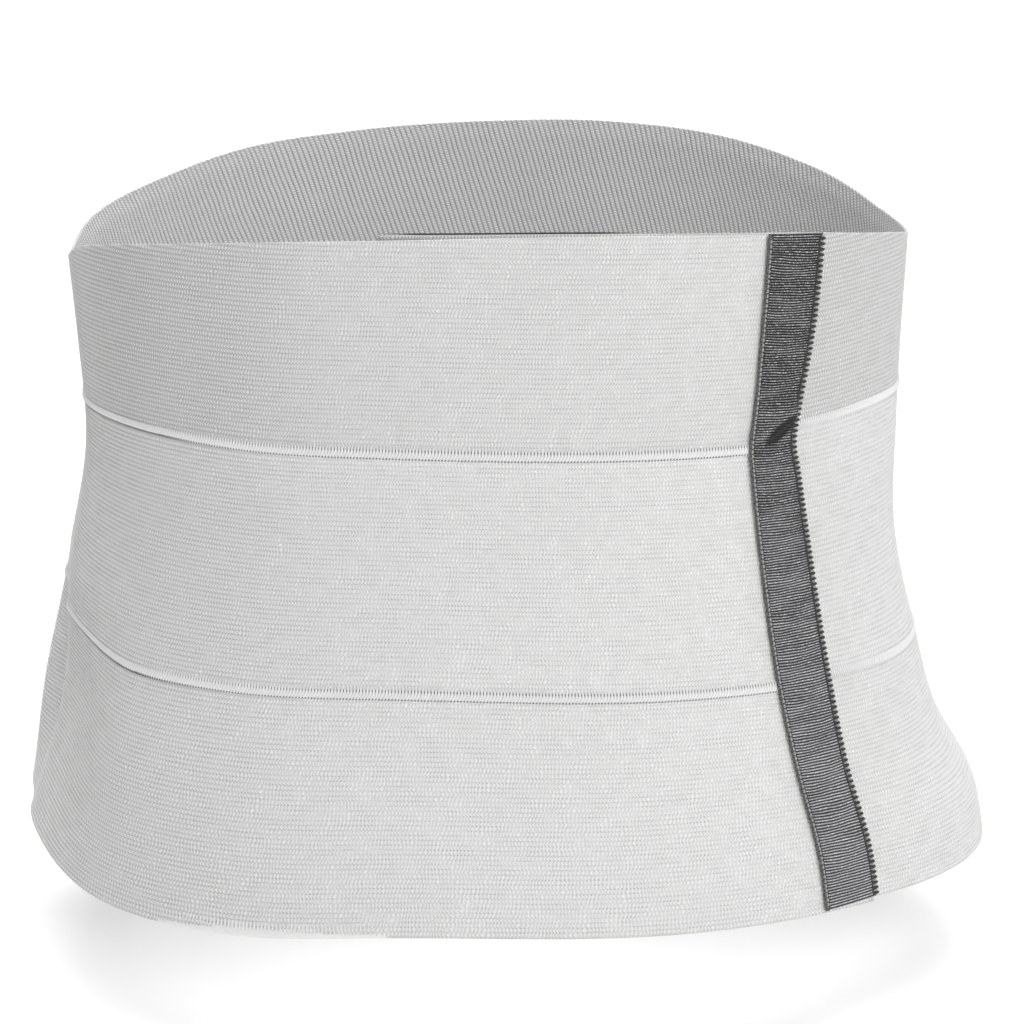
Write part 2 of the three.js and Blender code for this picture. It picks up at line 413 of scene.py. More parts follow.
    def band_turn(self, turn: Array, z: Array) -> Array:
        """The real turn of a nominal one. The band's outer end stops inside the tape's fold."""
        share = (turn - self.under_end_turn) / (self.last_turn - self.under_end_turn)
        stop = self.back_from_tape_edge(self.tape_thickness + self.clearance, z)
        return mix(self.under_end_turn, stop, share)

    def band_point(self, turn: Array, z: Array, depth: Array) -> Array:
        """A point of the band at a nominal turn and height, the given depth into its wall."""
        return self.body_point(self.band_turn(turn, z), z, self.layer_inset(turn) + depth)

    def waist_length(self, turn: Array) -> Array:
        """Metres along the waist from the band's start to a turn."""
        turns = np.arange(self.under_end_turn - 1, self.last_turn + 2, self.degree)
        lengths = np.cumsum(self.degree_length(turns, np.zeros_like(turns))) * self.degree
        return np.interp(turn, turns, lengths)

    def even_turns(self, edge: Edge, pitch: float) -> Array:
        """Nominal turns along an edge of the band, evenly spaced in real length.

        Args:
            edge: The edge or seam that they follow.
            pitch: The spacing in metres.

        Returns:
            The nominal turns.
        """
        turns = np.arange(self.under_end_turn, self.last_turn, self.degree)
        points = self.band_point(turns, self.edge_height(edge, turns), 0)
        steps = np.linalg.norm(np.diff(points, axis=0), axis=-1)
        lengths = np.concatenate([[0], np.cumsum(steps)])
        return np.interp(np.arange(pitch / 2, lengths[-1], pitch), lengths, turns)


@dataclass(frozen=True)
class Regions:
    """Where the cloth's painted shade changes round the body, each as a stretch in metres from the band's
    start.
    """

    right_end: Span
    side_end: Span
    corner_start: Span
    corner_end: Span

    @classmethod
    def of_form(cls, form: BodyForm) -> "Regions":
        """The regions of a form: its right front, its sides and back, and the corner at its left front."""
        turns = np.array([(70, 105), (288, 306), (284, 298), (312, 336)], float)
        return cls(*(tuple(float(length) for length in stretch) for stretch in form.waist_length(turns)))

    def masks(self, wiring: "Wiring", along: object) -> tuple[object, object, object]:
        """The masks of the right front, of the sides and back, and of the left front corner.

        Args:
            wiring: A material's wiring.
            along: Metres from the band's start.

        Returns:
            The three sockets.
        """
        right = wiring.ramp(along, *self.right_end, 1.0, 0.0)
        before_front = wiring.ramp(along, *self.side_end, 1.0, 0.0)
        side = wiring.math("MULTIPLY", wiring.flip(right), before_front)
        before_end = wiring.ramp(along, *self.corner_end, 1.0, 0.0)
        corner = wiring.math("MULTIPLY", wiring.ramp(along, *self.corner_start), before_end)
        return right, side, corner


@dataclass
class MeshDraft:
    """Points and faces of one piece, gathered from grids and threads before its mesh is made."""

    name: str
    finishes: list[Material]
    points: list[Array] = field(default_factory=list)
    quads: list[Array] = field(default_factory=list)
    quad_uvs: list[Array] = field(default_factory=list)
    quad_finishes: list[Array] = field(default_factory=list)
    caps: list[Array] = field(default_factory=list)
    count: int = 0

    def add_points(self, points: Array) -> Array:
        """Adds an array of points.

        Args:
            points: Points, with their three numbers on the last axis.

        Returns:
            The index of each point, in the array's shape.
        """
        shape = points.shape[:-1]
        size = int(np.prod(shape))
        index = self.count + np.arange(size).reshape(shape)
        self.points.append(points.reshape(-1, 3))
        self.count += size
        return index

    def add_grid(self, points: Array, uv: Array, finish: Array | int = 0, wraps: bool = False) -> Array:
        """Adds a grid of quads. Seen from its outer side, the first axis runs right and the second runs up.

        Args:
            points: Points of the grid, or of many grids with the same axes in front.
            uv: Texture places, one more than the points on the second axis where the grid wraps.
            finish: The finish of each strip along the second axis, or of all.
            wraps: Whether the second axis closes on itself.

        Returns:
            The index of each point.
        """
        index = self.add_points(points)
        closed = np.concatenate([index, index[..., :1]], axis=-1) if wraps else index
        self.quads.append(self.corners(closed).reshape(-1, 4))
        self.quad_uvs.append(self.corners(uv, trailing=1).reshape(-1, 4, 2))
        shape = closed[..., :-1, :-1].shape
        self.quad_finishes.append(np.broadcast_to(np.asarray(finish), shape).reshape(-1))
        return index

    @staticmethod
    def corners(grid: Array, trailing: int = 0) -> Array:
        """The four corners of each cell of a grid.

        Args:
            grid: Values on a grid, whose two grid axes stand before the trailing ones.
            trailing: How many axes follow the grid axes.

        Returns:
            The values at the corners, on a new axis before the trailing ones.
        """
        along = grid.ndim - trailing - 2
        cells = np.moveaxis(grid, (along, along + 1), (0, 1))
        around = np.stack([cells[:-1, :-1], cells[1:, :-1], cells[1:, 1:], cells[:-1, 1:]])
        around = np.moveaxis(around, (1, 2), (along + 1, along + 2))
        return np.moveaxis(around, 0, along + 2)

    def add_caps(self, index: Array) -> None:
        """Closes both ends of a wrapped grid."""
        self.caps.append(index[0])
        self.caps.append(index[-1][::-1])

    def add_threads(
        self, paths: Array, outward: Array, radii: Array, finish: int = 0, sides: int = 5
    ) -> None:
        """Adds short threads, whose ends lie under the cloth.

        Args:
            paths: Points of each thread, as threads by points by three.
            outward: The surface's outward vector at each thread.
            radii: The thread's radius at each point, or at each point of each thread.
            finish: The finish of the threads.
            sides: The number of sides of a thread.
        """
        direction = unit(paths[:, -1] - paths[:, 0])
        side = unit(np.cross(direction, outward))
        up = np.cross(side, direction)
        angles = np.linspace(0, 2 * np.pi, sides + 1)[:-1]
        sideways = np.cos(angles)[:, None] * side[:, None, None, :]
        upward = np.sin(angles)[:, None] * up[:, None, None, :]
        wide = np.broadcast_to(radii, paths.shape[:2])[:, :, None, None]
        points = paths[:, :, None, :] + wide * (sideways + upward)
        steps = np.linalg.norm(np.diff(paths, axis=1), axis=-1)
        lengths = np.concatenate([np.zeros((len(paths), 1)), np.cumsum(steps, axis=1)], axis=1)
        around = np.linspace(0, 1, sides + 1) * 2 * np.pi * np.max(radii)
        shape = (*paths.shape[:2], sides + 1)
        uv = np.stack([np.broadcast_to(lengths[:, :, None], shape), np.broadcast_to(around, shape)], axis=-1)
        self.add_grid(points, uv, finish, wraps=True)

    def build(self) -> Piece:
        """Makes the piece's object, smooth apart from its caps."""
        quads = np.concatenate(self.quads)
        loops = np.concatenate([quads.reshape(-1), *self.caps]).astype(np.int32)
        totals = np.array([4] * len(quads) + [len(cap) for cap in self.caps], np.int32)
        starts = np.concatenate([[0], np.cumsum(totals)[:-1]]).astype(np.int32)
        flat_uvs = np.zeros((len(loops), 2), np.float32)
        flat_uvs[: len(quads) * 4] = np.concatenate(self.quad_uvs).reshape(-1, 2)
        finishes = np.zeros(len(totals), np.int32)
        finishes[: len(quads)] = np.concatenate(self.quad_finishes)
        is_smooth = np.arange(len(totals)) < len(quads)
        mesh = bpy.data.meshes.new(self.name)
        mesh.vertices.add(self.count)
        mesh.vertices.foreach_set("co", np.concatenate(self.points).astype(np.float32).reshape(-1))
        mesh.loops.add(len(loops))
        mesh.loops.foreach_set("vertex_index", loops)
        mesh.polygons.add(len(totals))
        mesh.polygons.foreach_set("loop_start", starts)
        mesh.polygons.foreach_set("loop_total", totals)
        mesh.polygons.foreach_set("material_index", finishes)
        mesh.polygons.foreach_set("use_smooth", is_smooth)
        layer = mesh.uv_layers.new(name=UV_NAME)
        layer.data.foreach_set("uv", flat_uvs.reshape(-1))
        mesh.update(calc_edges=True)
        mesh.validate()
        for finish in self.finishes:
            mesh.materials.append(finish)
        piece = bpy.data.objects.new(self.name, mesh)
        bpy.context.scene.collection.objects.link(piece)
        log.info("%s: %d points, %d faces", self.name, self.count, len(totals))
        return piece


class Wiring:
    """Adds nodes to one node tree and links them."""

    # The Mix node's sockets share their names between kinds of value, so they are taken by number.
    mix_factor = 0
    mix_colours = (6, 7)
    mix_result = 2

    def __init__(self, tree: bpy.types.NodeTree) -> None:
        """Keeps the tree."""
        self.tree = tree

    def feed(self, socket: bpy.types.NodeSocket, value: object) -> None:
        """Links a socket to another one, or sets its value."""
        if isinstance(value, bpy.types.NodeSocket):
            self.tree.links.new(value, socket)
        else:
            socket.default_value = value

    def math(self, operation: str, *values: object, clamp: bool = False) -> bpy.types.NodeSocket:
        """Adds a Math node.

        Args:
            operation: The node's operation.
            values: Its inputs, as numbers or sockets.
            clamp: Whether the result is kept from 0 to 1.

        Returns:
            The result's socket.
        """
        node = self.tree.nodes.new("ShaderNodeMath")
        node.operation = operation
        node.use_clamp = clamp
        for socket, value in zip(node.inputs, values):
            self.feed(socket, value)
        return node.outputs[0]

    def wave(self, phase: object) -> bpy.types.NodeSocket:
        """A cosine wave from 0 to 1, with its crests at whole phases."""
        angle = self.math("MULTIPLY", phase, 2 * np.pi)
        return self.math("MULTIPLY_ADD", self.math("COSINE", angle), 0.5, 0.5)

    def flip(self, value: object) -> bpy.types.NodeSocket:
        """One less the value."""
        return self.math("SUBTRACT", 1.0, value)

    def square(self, value: object) -> bpy.types.NodeSocket:
        """The value times itself."""
        return self.math("POWER", self.math("ABSOLUTE", value), 2.0)

    def at_least(self, value: object, least: float) -> bpy.types.NodeSocket:
        """A value of 0 to 1, moved to run from the least to 1."""
        return self.math("MULTIPLY_ADD", value, 1 - least, least)

    def ramp(self, value: object, low: float, high: float, start: float = 0.0, end: float = 1.0) -> object:
        """A soft step.

        Args:
            value: The number to map.
            low: Where the step starts.
            high: Where it ends.
            start: The result up to low.
            end: The result from high on.

        Returns:
            The result's socket.
        """
        node = self.tree.nodes.new("ShaderNodeMapRange")
        node.interpolation_type = "SMOOTHSTEP"
        for name, number in (("Value", value), ("From Min", low), ("From Max", high)):
            self.feed(node.inputs[name], number)
        self.feed(node.inputs["To Min"], start)
        self.feed(node.inputs["To Max"], end)
        return node.outputs["Result"]

    def split(self, vector: object) -> tuple[object, object]:
        """The first two numbers of a vector."""
        node = self.tree.nodes.new("ShaderNodeSeparateXYZ")
        self.feed(node.inputs[0], vector)
        return node.outputs[0], node.outputs[1]

    def join(self, x: object, y: object, z: object = 0.0) -> object:
        """A vector of three numbers."""
        node = self.tree.nodes.new("ShaderNodeCombineXYZ")
        for socket, value in zip(node.inputs, (x, y, z)):
            self.feed(socket, value)
        return node.outputs[0]

    def scaled(self, x: object, y: object, x_scale: float, y_scale: float) -> object:
        """A vector of two numbers, each with its own scale."""
        return self.join(self.math("MULTIPLY", x, x_scale), self.math("MULTIPLY", y, y_scale))

    def noise(self, vector: object, scale: float, detail: float = 2.0) -> object:
        """Adds a Noise Texture node and gives its value."""
        node = self.tree.nodes.new("ShaderNodeTexNoise")
        self.feed(node.inputs["Vector"], vector)
        self.feed(node.inputs["Scale"], scale)
        self.feed(node.inputs["Detail"], detail)
        return node.outputs["Fac"]

    def waver(self, vector: object, scale: float, reach: float) -> object:
        """A number that wavers softly from minus the reach to the reach."""
        return self.ramp(self.noise(vector, scale), *MOST_NOISE, -reach, reach)

    def colour(self, factor: object, first: object, second: object) -> object:
        """A mix of two colours.

        Args:
            factor: The share of the second colour.
            first: A colour, as a tuple or socket.
            second: Another one.

        Returns:
            The mixed colour's socket.
        """
        node = self.tree.nodes.new("ShaderNodeMix")
        node.data_type = "RGBA"
        self.feed(node.inputs[self.mix_factor], factor)
        for number, colour in zip(self.mix_colours, (first, second)):
            linked = isinstance(colour, bpy.types.NodeSocket)
            self.feed(node.inputs[number], colour if linked else (*colour, 1.0))
        return node.outputs[self.mix_result]

    def uv(self) -> object:
        """The piece's own texture places, in metres of cloth."""
        node = self.tree.nodes.new("ShaderNodeUVMap")
        node.uv_map = UV_NAME
        return node.outputs[0]

    def group(self, tree: bpy.types.NodeTree, **values: object) -> bpy.types.Node:
        """Places a node group.

        Args:
            tree: The group's tree.
            values: Its inputs, with underscores for the spaces in their names.

        Returns:
            The group's node.
        """
        node = self.tree.nodes.new("ShaderNodeGroup")
        node.node_tree = tree
        for name, value in values.items():
            self.feed(node.inputs[name.replace("_", " ")], value)
        return node


@dataclass
class EffectGroup:
    """A shader node group with named inputs and outputs."""

    name: str
    inputs: dict[str, float | None]
    outputs: tuple[str, ...]

    def open(self) -> tuple[Wiring, dict[str, object], bpy.types.Node]:
        """Starts the group's tree.

        Returns:
            The wiring, the inputs' sockets by name, and the output node.
        """
        tree = bpy.data.node_groups.new(self.name, "ShaderNodeTree")
        for name, value in self.inputs.items():
            kind = "NodeSocketVector" if value is None else "NodeSocketFloat"
            socket = tree.interface.new_socket(name=name, in_out="INPUT", socket_type=kind)
            if value is not None:
                socket.default_value = value
        for name in self.outputs:
            tree.interface.new_socket(name=name, in_out="OUTPUT", socket_type="NodeSocketFloat")
        entry = tree.nodes.new("NodeGroupInput")
        exit_node = tree.nodes.new("NodeGroupOutput")
        sockets = {name: entry.outputs[name] for name in self.inputs}
        return Wiring(tree), sockets, exit_node


def knit_face_group() -> bpy.types.NodeTree:
    """The ribbed outer face: wales of loops that lean to and fro from rib to rib, with pin holes between.

    Returns:
        The group's tree, with the outputs Height, Holes, Crowns and Valleys; Holes, Valleys and the gaps
        between Crowns mark painted shade.
    """
    effect = EffectGroup(
        "knit_face",
        {"Coordinate": None, "Wale Pitch": 1.03 * MM, "Rib Pitch": 1.55 * MM, "Slant": -0.14, "Lean": 0.85},
        ("Height", "Holes", "Crowns", "Valleys"),
    )
    wiring, given, result = effect.open()
    along, up = wiring.split(given["Coordinate"])
    half_rib = 0.5
    rib_share = 0.3
    pin_sharpness = 3.6
    noise_between_ribs = 7.3
    noise_along_a_metre = 35.0
    patch_stretch = 0.6
    zone_stretch = 1.6
    zone_layer = 3.0
    drift = wiring.waver(given["Coordinate"], scale=60.0, reach=0.35)
    slanted = wiring.math("MULTIPLY_ADD", up, given["Slant"], along)
    rib = wiring.math("DIVIDE", up, given["Rib Pitch"])
    course = wiring.math("MULTIPLY", wiring.math("FLOOR", rib), noise_between_ribs)
    uneven = wiring.join(wiring.math("MULTIPLY", along, noise_along_a_metre), course)
    nudge = wiring.waver(uneven, scale=1.0, reach=0.4)
    columns = wiring.math("ADD", wiring.math("DIVIDE", slanted, given["Wale Pitch"]), drift)
    wale = wiring.math("ADD", columns, nudge)
    zigzag = wiring.math("PINGPONG", rib, half_rib)
    patches = wiring.noise(wiring.join(wiring.math("MULTIPLY", along, patch_stretch), up), scale=230.0)
    leaning = wiring.ramp(patches, *MIDDLE_NOISE, start=-1.0, end=1.6)
    lean = wiring.math("MULTIPLY", given["Lean"], leaning)
    stroke = wiring.wave(wiring.math("MULTIPLY_ADD", zigzag, lean, wale))
    crest = wiring.flip(wiring.wave(rib))
    standing = wiring.at_least(crest, least=0.4)
    loops = wiring.ramp(wiring.math("MULTIPLY", stroke, standing), low=0.1, high=0.8)
    height = wiring.math("MULTIPLY_ADD", crest, rib_share, loops)
    valley = wiring.math("MULTIPLY", wiring.flip(crest), wiring.flip(stroke))
    pins = wiring.math("POWER", valley, pin_sharpness)
    zone_places = wiring.join(along, wiring.math("MULTIPLY", up, zone_stretch), zone_layer)
    zone = wiring.ramp(wiring.noise(zone_places, scale=150.0), *MIDDLE_NOISE)
    wiring.feed(result.inputs["Height"], height)
    wiring.feed(result.inputs["Holes"], wiring.math("MULTIPLY", pins, zone))
    wiring.feed(result.inputs["Crowns"], loops)
    wiring.feed(result.inputs["Valleys"], wiring.ramp(crest, low=0.0, high=0.75, start=1.0, end=0.0))
    return wiring.tree


def knit_back_group() -> bpy.types.NodeTree:
    """The coarse inner face: leaning wales with rows of short dashes, and uneven painted shade in the gaps
    between the wales.

    Returns:
        The group's tree, with the outputs Height, Holes and Crowns.
    """
    effect = EffectGroup(
        "knit_back",
        {"Coordinate": None, "Wale Pitch": 1.9 * MM, "Row Pitch": 0.95 * MM, "Slant": -0.3},
        ("Height", "Holes", "Crowns"),
    )
    wiring, given, result = effect.open()
    along, up = wiring.split(given["Coordinate"])
    drift = wiring.waver(given["Coordinate"], scale=40.0, reach=0.25 * MM)
    slanted = wiring.math("ADD", wiring.math("MULTIPLY_ADD", up, given["Slant"], along), drift)
    wale = wiring.math("DIVIDE", slanted, given["Wale Pitch"])
    half = 0.5
    side = wiring.math("FLOORED_MODULO", wiring.math("FLOOR", wiring.math("ADD", wale, half)), 2.0)
    row = wiring.math("MULTIPLY_ADD", side, half, wiring.math("DIVIDE", up, given["Row Pitch"]))
    body = wiring.wave(wale)
    stitch = wiring.ramp(wiring.wave(row), low=0.0, high=0.6)
    dash = wiring.ramp(body, low=0.1, high=0.7)
    loose_noise = wiring.noise(given["Coordinate"], scale=330.0)
    loose = wiring.ramp(loose_noise, *MIDDLE_NOISE, start=0.35, end=1.0)
    crowns = wiring.math("MULTIPLY", dash, wiring.at_least(stitch, least=0.2))
    # Painted shade: the gaps between the wales are painted dark.
    gap = wiring.ramp(body, low=0.02, high=0.32, start=1.0, end=0.0)
    broken = wiring.math("MULTIPLY", wiring.at_least(wiring.flip(stitch), least=0.4), loose)
    wiring.feed(result.inputs["Height"], crowns)
    wiring.feed(result.inputs["Holes"], wiring.math("MULTIPLY", gap, broken))
    wiring.feed(result.inputs["Crowns"], crowns)
    return wiring.tree


def cloth_tone_group() -> bpy.types.NodeTree:
    """Soft differences of tone from yarn to yarn and from place to place.

    Returns:
        The group's tree, with the output Tone from 0 to 1.
    """
    effect = EffectGroup("cloth_tone", {"Coordinate": None, "Streaks": 0.5}, ("Tone",))
    wiring, given, result = effect.open()
    along, up = wiring.split(given["Coordinate"])
    cloudy = wiring.noise(given["Coordinate"], scale=14.0, detail=3.0)
    courses = wiring.noise(wiring.scaled(along, up, x_scale=6.0, y_scale=700.0), scale=1.0)
    wales = wiring.noise(wiring.scaled(along, up, x_scale=900.0, y_scale=9.0), scale=1.0)
    streaks = wiring.math("MULTIPLY", wiring.math("ADD", courses, wales), 0.5)
    share = wiring.math("MULTIPLY", wiring.math("SUBTRACT", streaks, cloudy), given["Streaks"])
    wiring.feed(result.inputs["Tone"], wiring.math("ADD", cloudy, share))
    return wiring.tree


def grosgrain_group() -> bpy.types.NodeTree:
    """Corded tape: a fat weft rib in each pitch, crossed by fine warp yarns, with flecks of lighter yarn.

    Returns:
        The group's tree, with the outputs Height, Valleys and Flecks; Valleys marks the painted shade between
        the cords.
    """
    effect = EffectGroup(
        "grosgrain",
        {"Coordinate": None, "Rib Pitch": 0.885 * MM, "Warp Pitch": 0.55 * MM},
        ("Height", "Valleys", "Flecks"),
    )
    wiring, given, result = effect.open()
    across, up = wiring.split(given["Coordinate"])
    rib = wiring.math("DIVIDE", up, given["Rib Pitch"])
    crest = wiring.wave(rib)
    shift = wiring.math("MULTIPLY", wiring.math("FLOOR", wiring.math("ADD", rib, 0.5)), 0.5)
    warp = wiring.wave(wiring.math("ADD", wiring.math("DIVIDE", across, given["Warp Pitch"]), shift))
    grain = wiring.noise(wiring.scaled(across, up, x_scale=2600.0, y_scale=1500.0), scale=1.0)
    flecks = wiring.math("MULTIPLY", wiring.ramp(grain, low=0.5, high=0.66), crest)
    warp_share = 0.35
    wiring.feed(result.inputs["Height"], wiring.math("MULTIPLY_ADD", warp, warp_share, crest))
    wiring.feed(result.inputs["Valleys"], wiring.ramp(crest, low=0.4, high=0.9, start=1.0, end=0.0))
    wiring.feed(result.inputs["Flecks"], flecks)
    return wiring.tree


def yarn_twist_group() -> bpy.types.NodeTree:
    """The slanting plies of a twisted thread.

    Returns:
        The group's tree, with the outputs Height and Grooves; Grooves marks the painted shade between the
        plies.
    """
    effect = EffectGroup("yarn_twist", {"Coordinate": None, "Ply Pitch": 0.35 * MM}, ("Height", "Grooves"))
    wiring, given, result = effect.open()
    along, around = wiring.split(given["Coordinate"])
    slanted = wiring.math("DIVIDE", wiring.math("ADD", along, around), given["Ply Pitch"])
    plies = wiring.wave(slanted)
    wiring.feed(result.inputs["Height"], plies)
    wiring.feed(result.inputs["Grooves"], wiring.math("POWER", wiring.flip(plies), 2.0))
    return wiring.tree


class Effects:
    """The shader node groups, each built once."""

    def __init__(self) -> None:
        """Builds the groups."""
        self.knit_face = knit_face_group()
        self.knit_back = knit_back_group()
        self.cloth_tone = cloth_tone_group()
        self.grosgrain = grosgrain_group()
        self.yarn_twist = yarn_twist_group()


class Surface:
    """A material with one Principled shader, and the wiring of its tree."""

    sheen_roughness = 0.5
    specular_level = 0.25

    def __init__(self, name: str, roughness: float, sheen: float) -> None:
        """Starts the material.

        Args:
            name: The material's name.
            roughness: The shader's roughness.
            sheen: The weight of the fibres' sheen.
        """
        self.material = bpy.data.materials.new(name)
        self.material.use_nodes = True
        tree = self.material.node_tree
        self.shader = tree.nodes["Principled BSDF"]
        self.wiring = Wiring(tree)
        self.shader.inputs["Roughness"].default_value = roughness
        self.shader.inputs["Sheen Weight"].default_value = sheen
        self.shader.inputs["Sheen Roughness"].default_value = self.sheen_roughness
        self.shader.inputs["Specular IOR Level"].default_value = self.specular_level

    def paint(self, colour: object) -> None:
        """Feeds the base colour."""
        self.wiring.feed(self.shader.inputs["Base Color"], colour)

    def emboss(self, height: object, depth: float) -> None:
        """Feeds a height of 0 to 1 through a Bump node of the given depth in metres."""
        node = self.wiring.tree.nodes.new("ShaderNodeBump")
        node.inputs["Distance"].default_value = depth
        self.wiring.feed(node.inputs["Height"], height)
        self.wiring.feed(self.shader.inputs["Normal"], node.outputs[0])


@dataclass(frozen=True)
class KnitFinish:
    """A knitted face in white yarn: its colours, its depth, and the shade painted in its holes, between its
    stitches and in its rib valleys, by region.
    """

    name: str
    is_back: bool
    yarn: Colour
    shadow: Colour
    hole_shade: Colour
    depth: float
    stitch_shade_share: float
    hole_shade_share: float
    tone_share: float
    stitch_shade_by_region: tuple[float, float, float] = (0.0, 0.0, 0.0)
    rib_shade_by_region: tuple[float, float, float] = (0.0, 0.0, 0.0)
    roughness: float = 0.9

    def build(self, effects: Effects, regions: Regions) -> Material:
        """Makes the material.

        Args:
            effects: The shared node groups.
            regions: Where the cloth's look changes.

        Returns:
            The material.
        """
        surface = Surface(self.name, self.roughness, sheen=0.12)
        wiring = surface.wiring
        places = wiring.uv()
        along, _ = wiring.split(places)
        masks = regions.masks(wiring, along)
        knit = wiring.group(effects.knit_back if self.is_back else effects.knit_face, Coordinate=places)
        tone = wiring.group(effects.cloth_tone, Coordinate=places, Streaks=0.35)
        toned = wiring.ramp(tone.outputs["Tone"], *MOST_NOISE, start=self.tone_share, end=0.0)
        yarn = wiring.colour(toned, self.yarn, self.shadow)
        # Painted shade: the yarn is darkened between the stitch loops, by region as light falls there.
        between = wiring.ramp(knit.outputs["Crowns"], low=0.0, high=0.9, start=1.0, end=0.0)
        shares = self.weigh(wiring, masks, self.stitch_shade_by_region, self.stitch_shade_share)
        raised = wiring.colour(wiring.math("MULTIPLY", between, shares), yarn, self.shadow)
        # Painted shade: the rib valleys are darkened, most at the sides and back, where light rakes across
        # them.
        if not self.is_back:
            depths = self.weigh(wiring, masks, self.rib_shade_by_region, 0.0)
            ribbed = wiring.math("MULTIPLY", knit.outputs["Valleys"], depths)
            raised = wiring.colour(ribbed, raised, self.shadow)
        # Painted shade: the pin holes are painted dark, where shade falls in them.
        holes = wiring.math("MULTIPLY", knit.outputs["Holes"], self.hole_shade_share)
        surface.paint(wiring.colour(holes, raised, self.hole_shade))
        surface.emboss(knit.outputs["Height"], self.depth)
        return surface.material

    @staticmethod
    def weigh(wiring: Wiring, masks: tuple, weights: tuple[float, float, float], base: float) -> object:
        """A base share and what each region adds to it."""
        total = base
        for mask, weight in zip(masks, weights):
            total = wiring.math("MULTIPLY_ADD", mask, weight, total)
        return total


@dataclass(frozen=True)
class ThreadFinish:
    """A twisted sewing thread, with shade painted in the grooves between its plies."""

    name: str
    ply: Colour
    groove: Colour
    depth: float = 0.04 * MM
    roughness: float = 0.6

    def build(self, effects: Effects) -> Material:
        """Makes the material.

        Args:
            effects: The shared node groups.

        Returns:
            The material.
        """
        surface = Surface(self.name, self.roughness, sheen=0.1)
        wiring = surface.wiring
        twist = wiring.group(effects.yarn_twist, Coordinate=wiring.uv())
        surface.paint(wiring.colour(twist.outputs["Grooves"], self.ply, self.groove))
        surface.emboss(twist.outputs["Height"], self.depth)
        return surface.material


@dataclass(frozen=True)
class Pinch:
    """The pinched fold across the tape beside the upper seam, which shades the cords below it."""

    back: float = 6.0 * MM
    level: float = 11.5 * MM
    slope: float = 0.62
    half_length: float = 6.5 * MM
    reach_above: float = 7.0 * MM
    reach_below: float = 1.7 * MM
    height: float = 1.2 * MM
    stretch: float = 1.5
    shade_below: float = 0.7
    shade_half_width: float = 3.5 * MM
    shade_edge: Span = (0.45, 1.15)
    shade_share: float = 0.9


@dataclass(frozen=True)
class TapeFinish:
    """Dark grosgrain tape with light flecks on its cords, and shade painted in its valleys, darker towards
    the top, along the groove by its rolled edge and in a lens below its pinched fold.
    """

    name: str
    cord: Colour
    shaded_top_cord: Colour
    low_valley: Colour
    valley: Colour
    fleck: Colour
    rolled: Colour
    length: float
    roll_width: float = 1.8 * MM
    roll_edge: float = 0.1 * MM
    groove_shade_width: float = 0.8 * MM
    depth: float = 0.1 * MM
    roughness: float = 0.8

    def pinch_shade(self, wiring: Wiring, across: object, up: object, pinch: Pinch, place: tuple) -> object:
        """The shaded lens below the pinched fold.

        Args:
            wiring: The material's wiring.
            across: Distance from the tape's inner edge.
            up: Length of tape from its lower end.
            pinch: The fold.
            place: The lens's middle, as the same two distances.

        Returns:
            The socket of a mask.
        """
        x = wiring.math("SUBTRACT", across, place[0])
        y = wiring.math("SUBTRACT", up, place[1])
        off = wiring.math("MULTIPLY_ADD", x, -pinch.slope, y)
        long = wiring.square(wiring.math("DIVIDE", x, pinch.half_length))
        wide = wiring.square(wiring.math("DIVIDE", off, pinch.shade_half_width))
        return wiring.ramp(wiring.math("ADD", long, wide), *pinch.shade_edge, start=1.0, end=0.0)

    def build(self, effects: Effects, pinch: Pinch, place: tuple[float, float]) -> Material:
        """Makes the material.

        Args:
            effects: The shared node groups.
            pinch: The pinched fold.
            place: Where its shade lies: distance from the inner edge, and length of tape from the lower end.

        Returns:
            The material.
        """
        surface = Surface(self.name, self.roughness, sheen=0.05)
        wiring = surface.wiring
        places = wiring.uv()
        across, up = wiring.split(places)
        weave = wiring.group(effects.grosgrain, Coordinate=places)
        band_stretch = 0.15
        band_places = wiring.join(wiring.math("MULTIPLY", across, band_stretch), up)
        bands = wiring.waver(band_places, scale=260.0, reach=0.3)
        # Painted shade: cords and valleys darken towards the top; the noise bands vary the cords' tone at
        # random.
        top_shade_and_bands = wiring.math("ADD", wiring.ramp(up, 0.0, self.length), bands, clamp=True)
        cord = wiring.colour(top_shade_and_bands, self.cord, self.shaded_top_cord)
        flecked = wiring.colour(weave.outputs["Flecks"], cord, self.fleck)
        valley = wiring.colour(top_shade_and_bands, self.low_valley, self.valley)
        # Painted shade: the valleys between the cords are painted near black.
        woven = wiring.colour(weave.outputs["Valleys"], flecked, valley)
        grain_squeeze = 3.0
        grain = wiring.noise(wiring.join(wiring.math("MULTIPLY", across, grain_squeeze), up), scale=1800.0)
        rolled = wiring.colour(wiring.ramp(grain, low=0.45, high=0.6), self.valley, self.rolled)
        roll_ends = (self.roll_width - self.roll_edge, self.roll_width + self.roll_edge)
        edge = wiring.ramp(across, *roll_ends, start=1.0, end=0.0)
        dressed = wiring.colour(edge, woven, rolled)
        # Painted shade: a dark line along the groove beside the rolled edge.
        line_middle = self.roll_width + self.groove_shade_width / 2
        off_line = wiring.math("ABSOLUTE", wiring.math("SUBTRACT", across, line_middle))
        groove_shade = wiring.ramp(off_line, self.groove_shade_width / 4, self.groove_shade_width / 2, start=1.0, end=0.0)
        groove_shaded = wiring.colour(groove_shade, dressed, self.valley)
        lens = self.pinch_shade(wiring, across, up, pinch, place)
        shade = wiring.math("MULTIPLY", lens, pinch.shade_share)
        surface.paint(wiring.colour(shade, groove_shaded, self.valley))
        surface.emboss(weave.outputs["Height"], self.depth)
        return surface.material


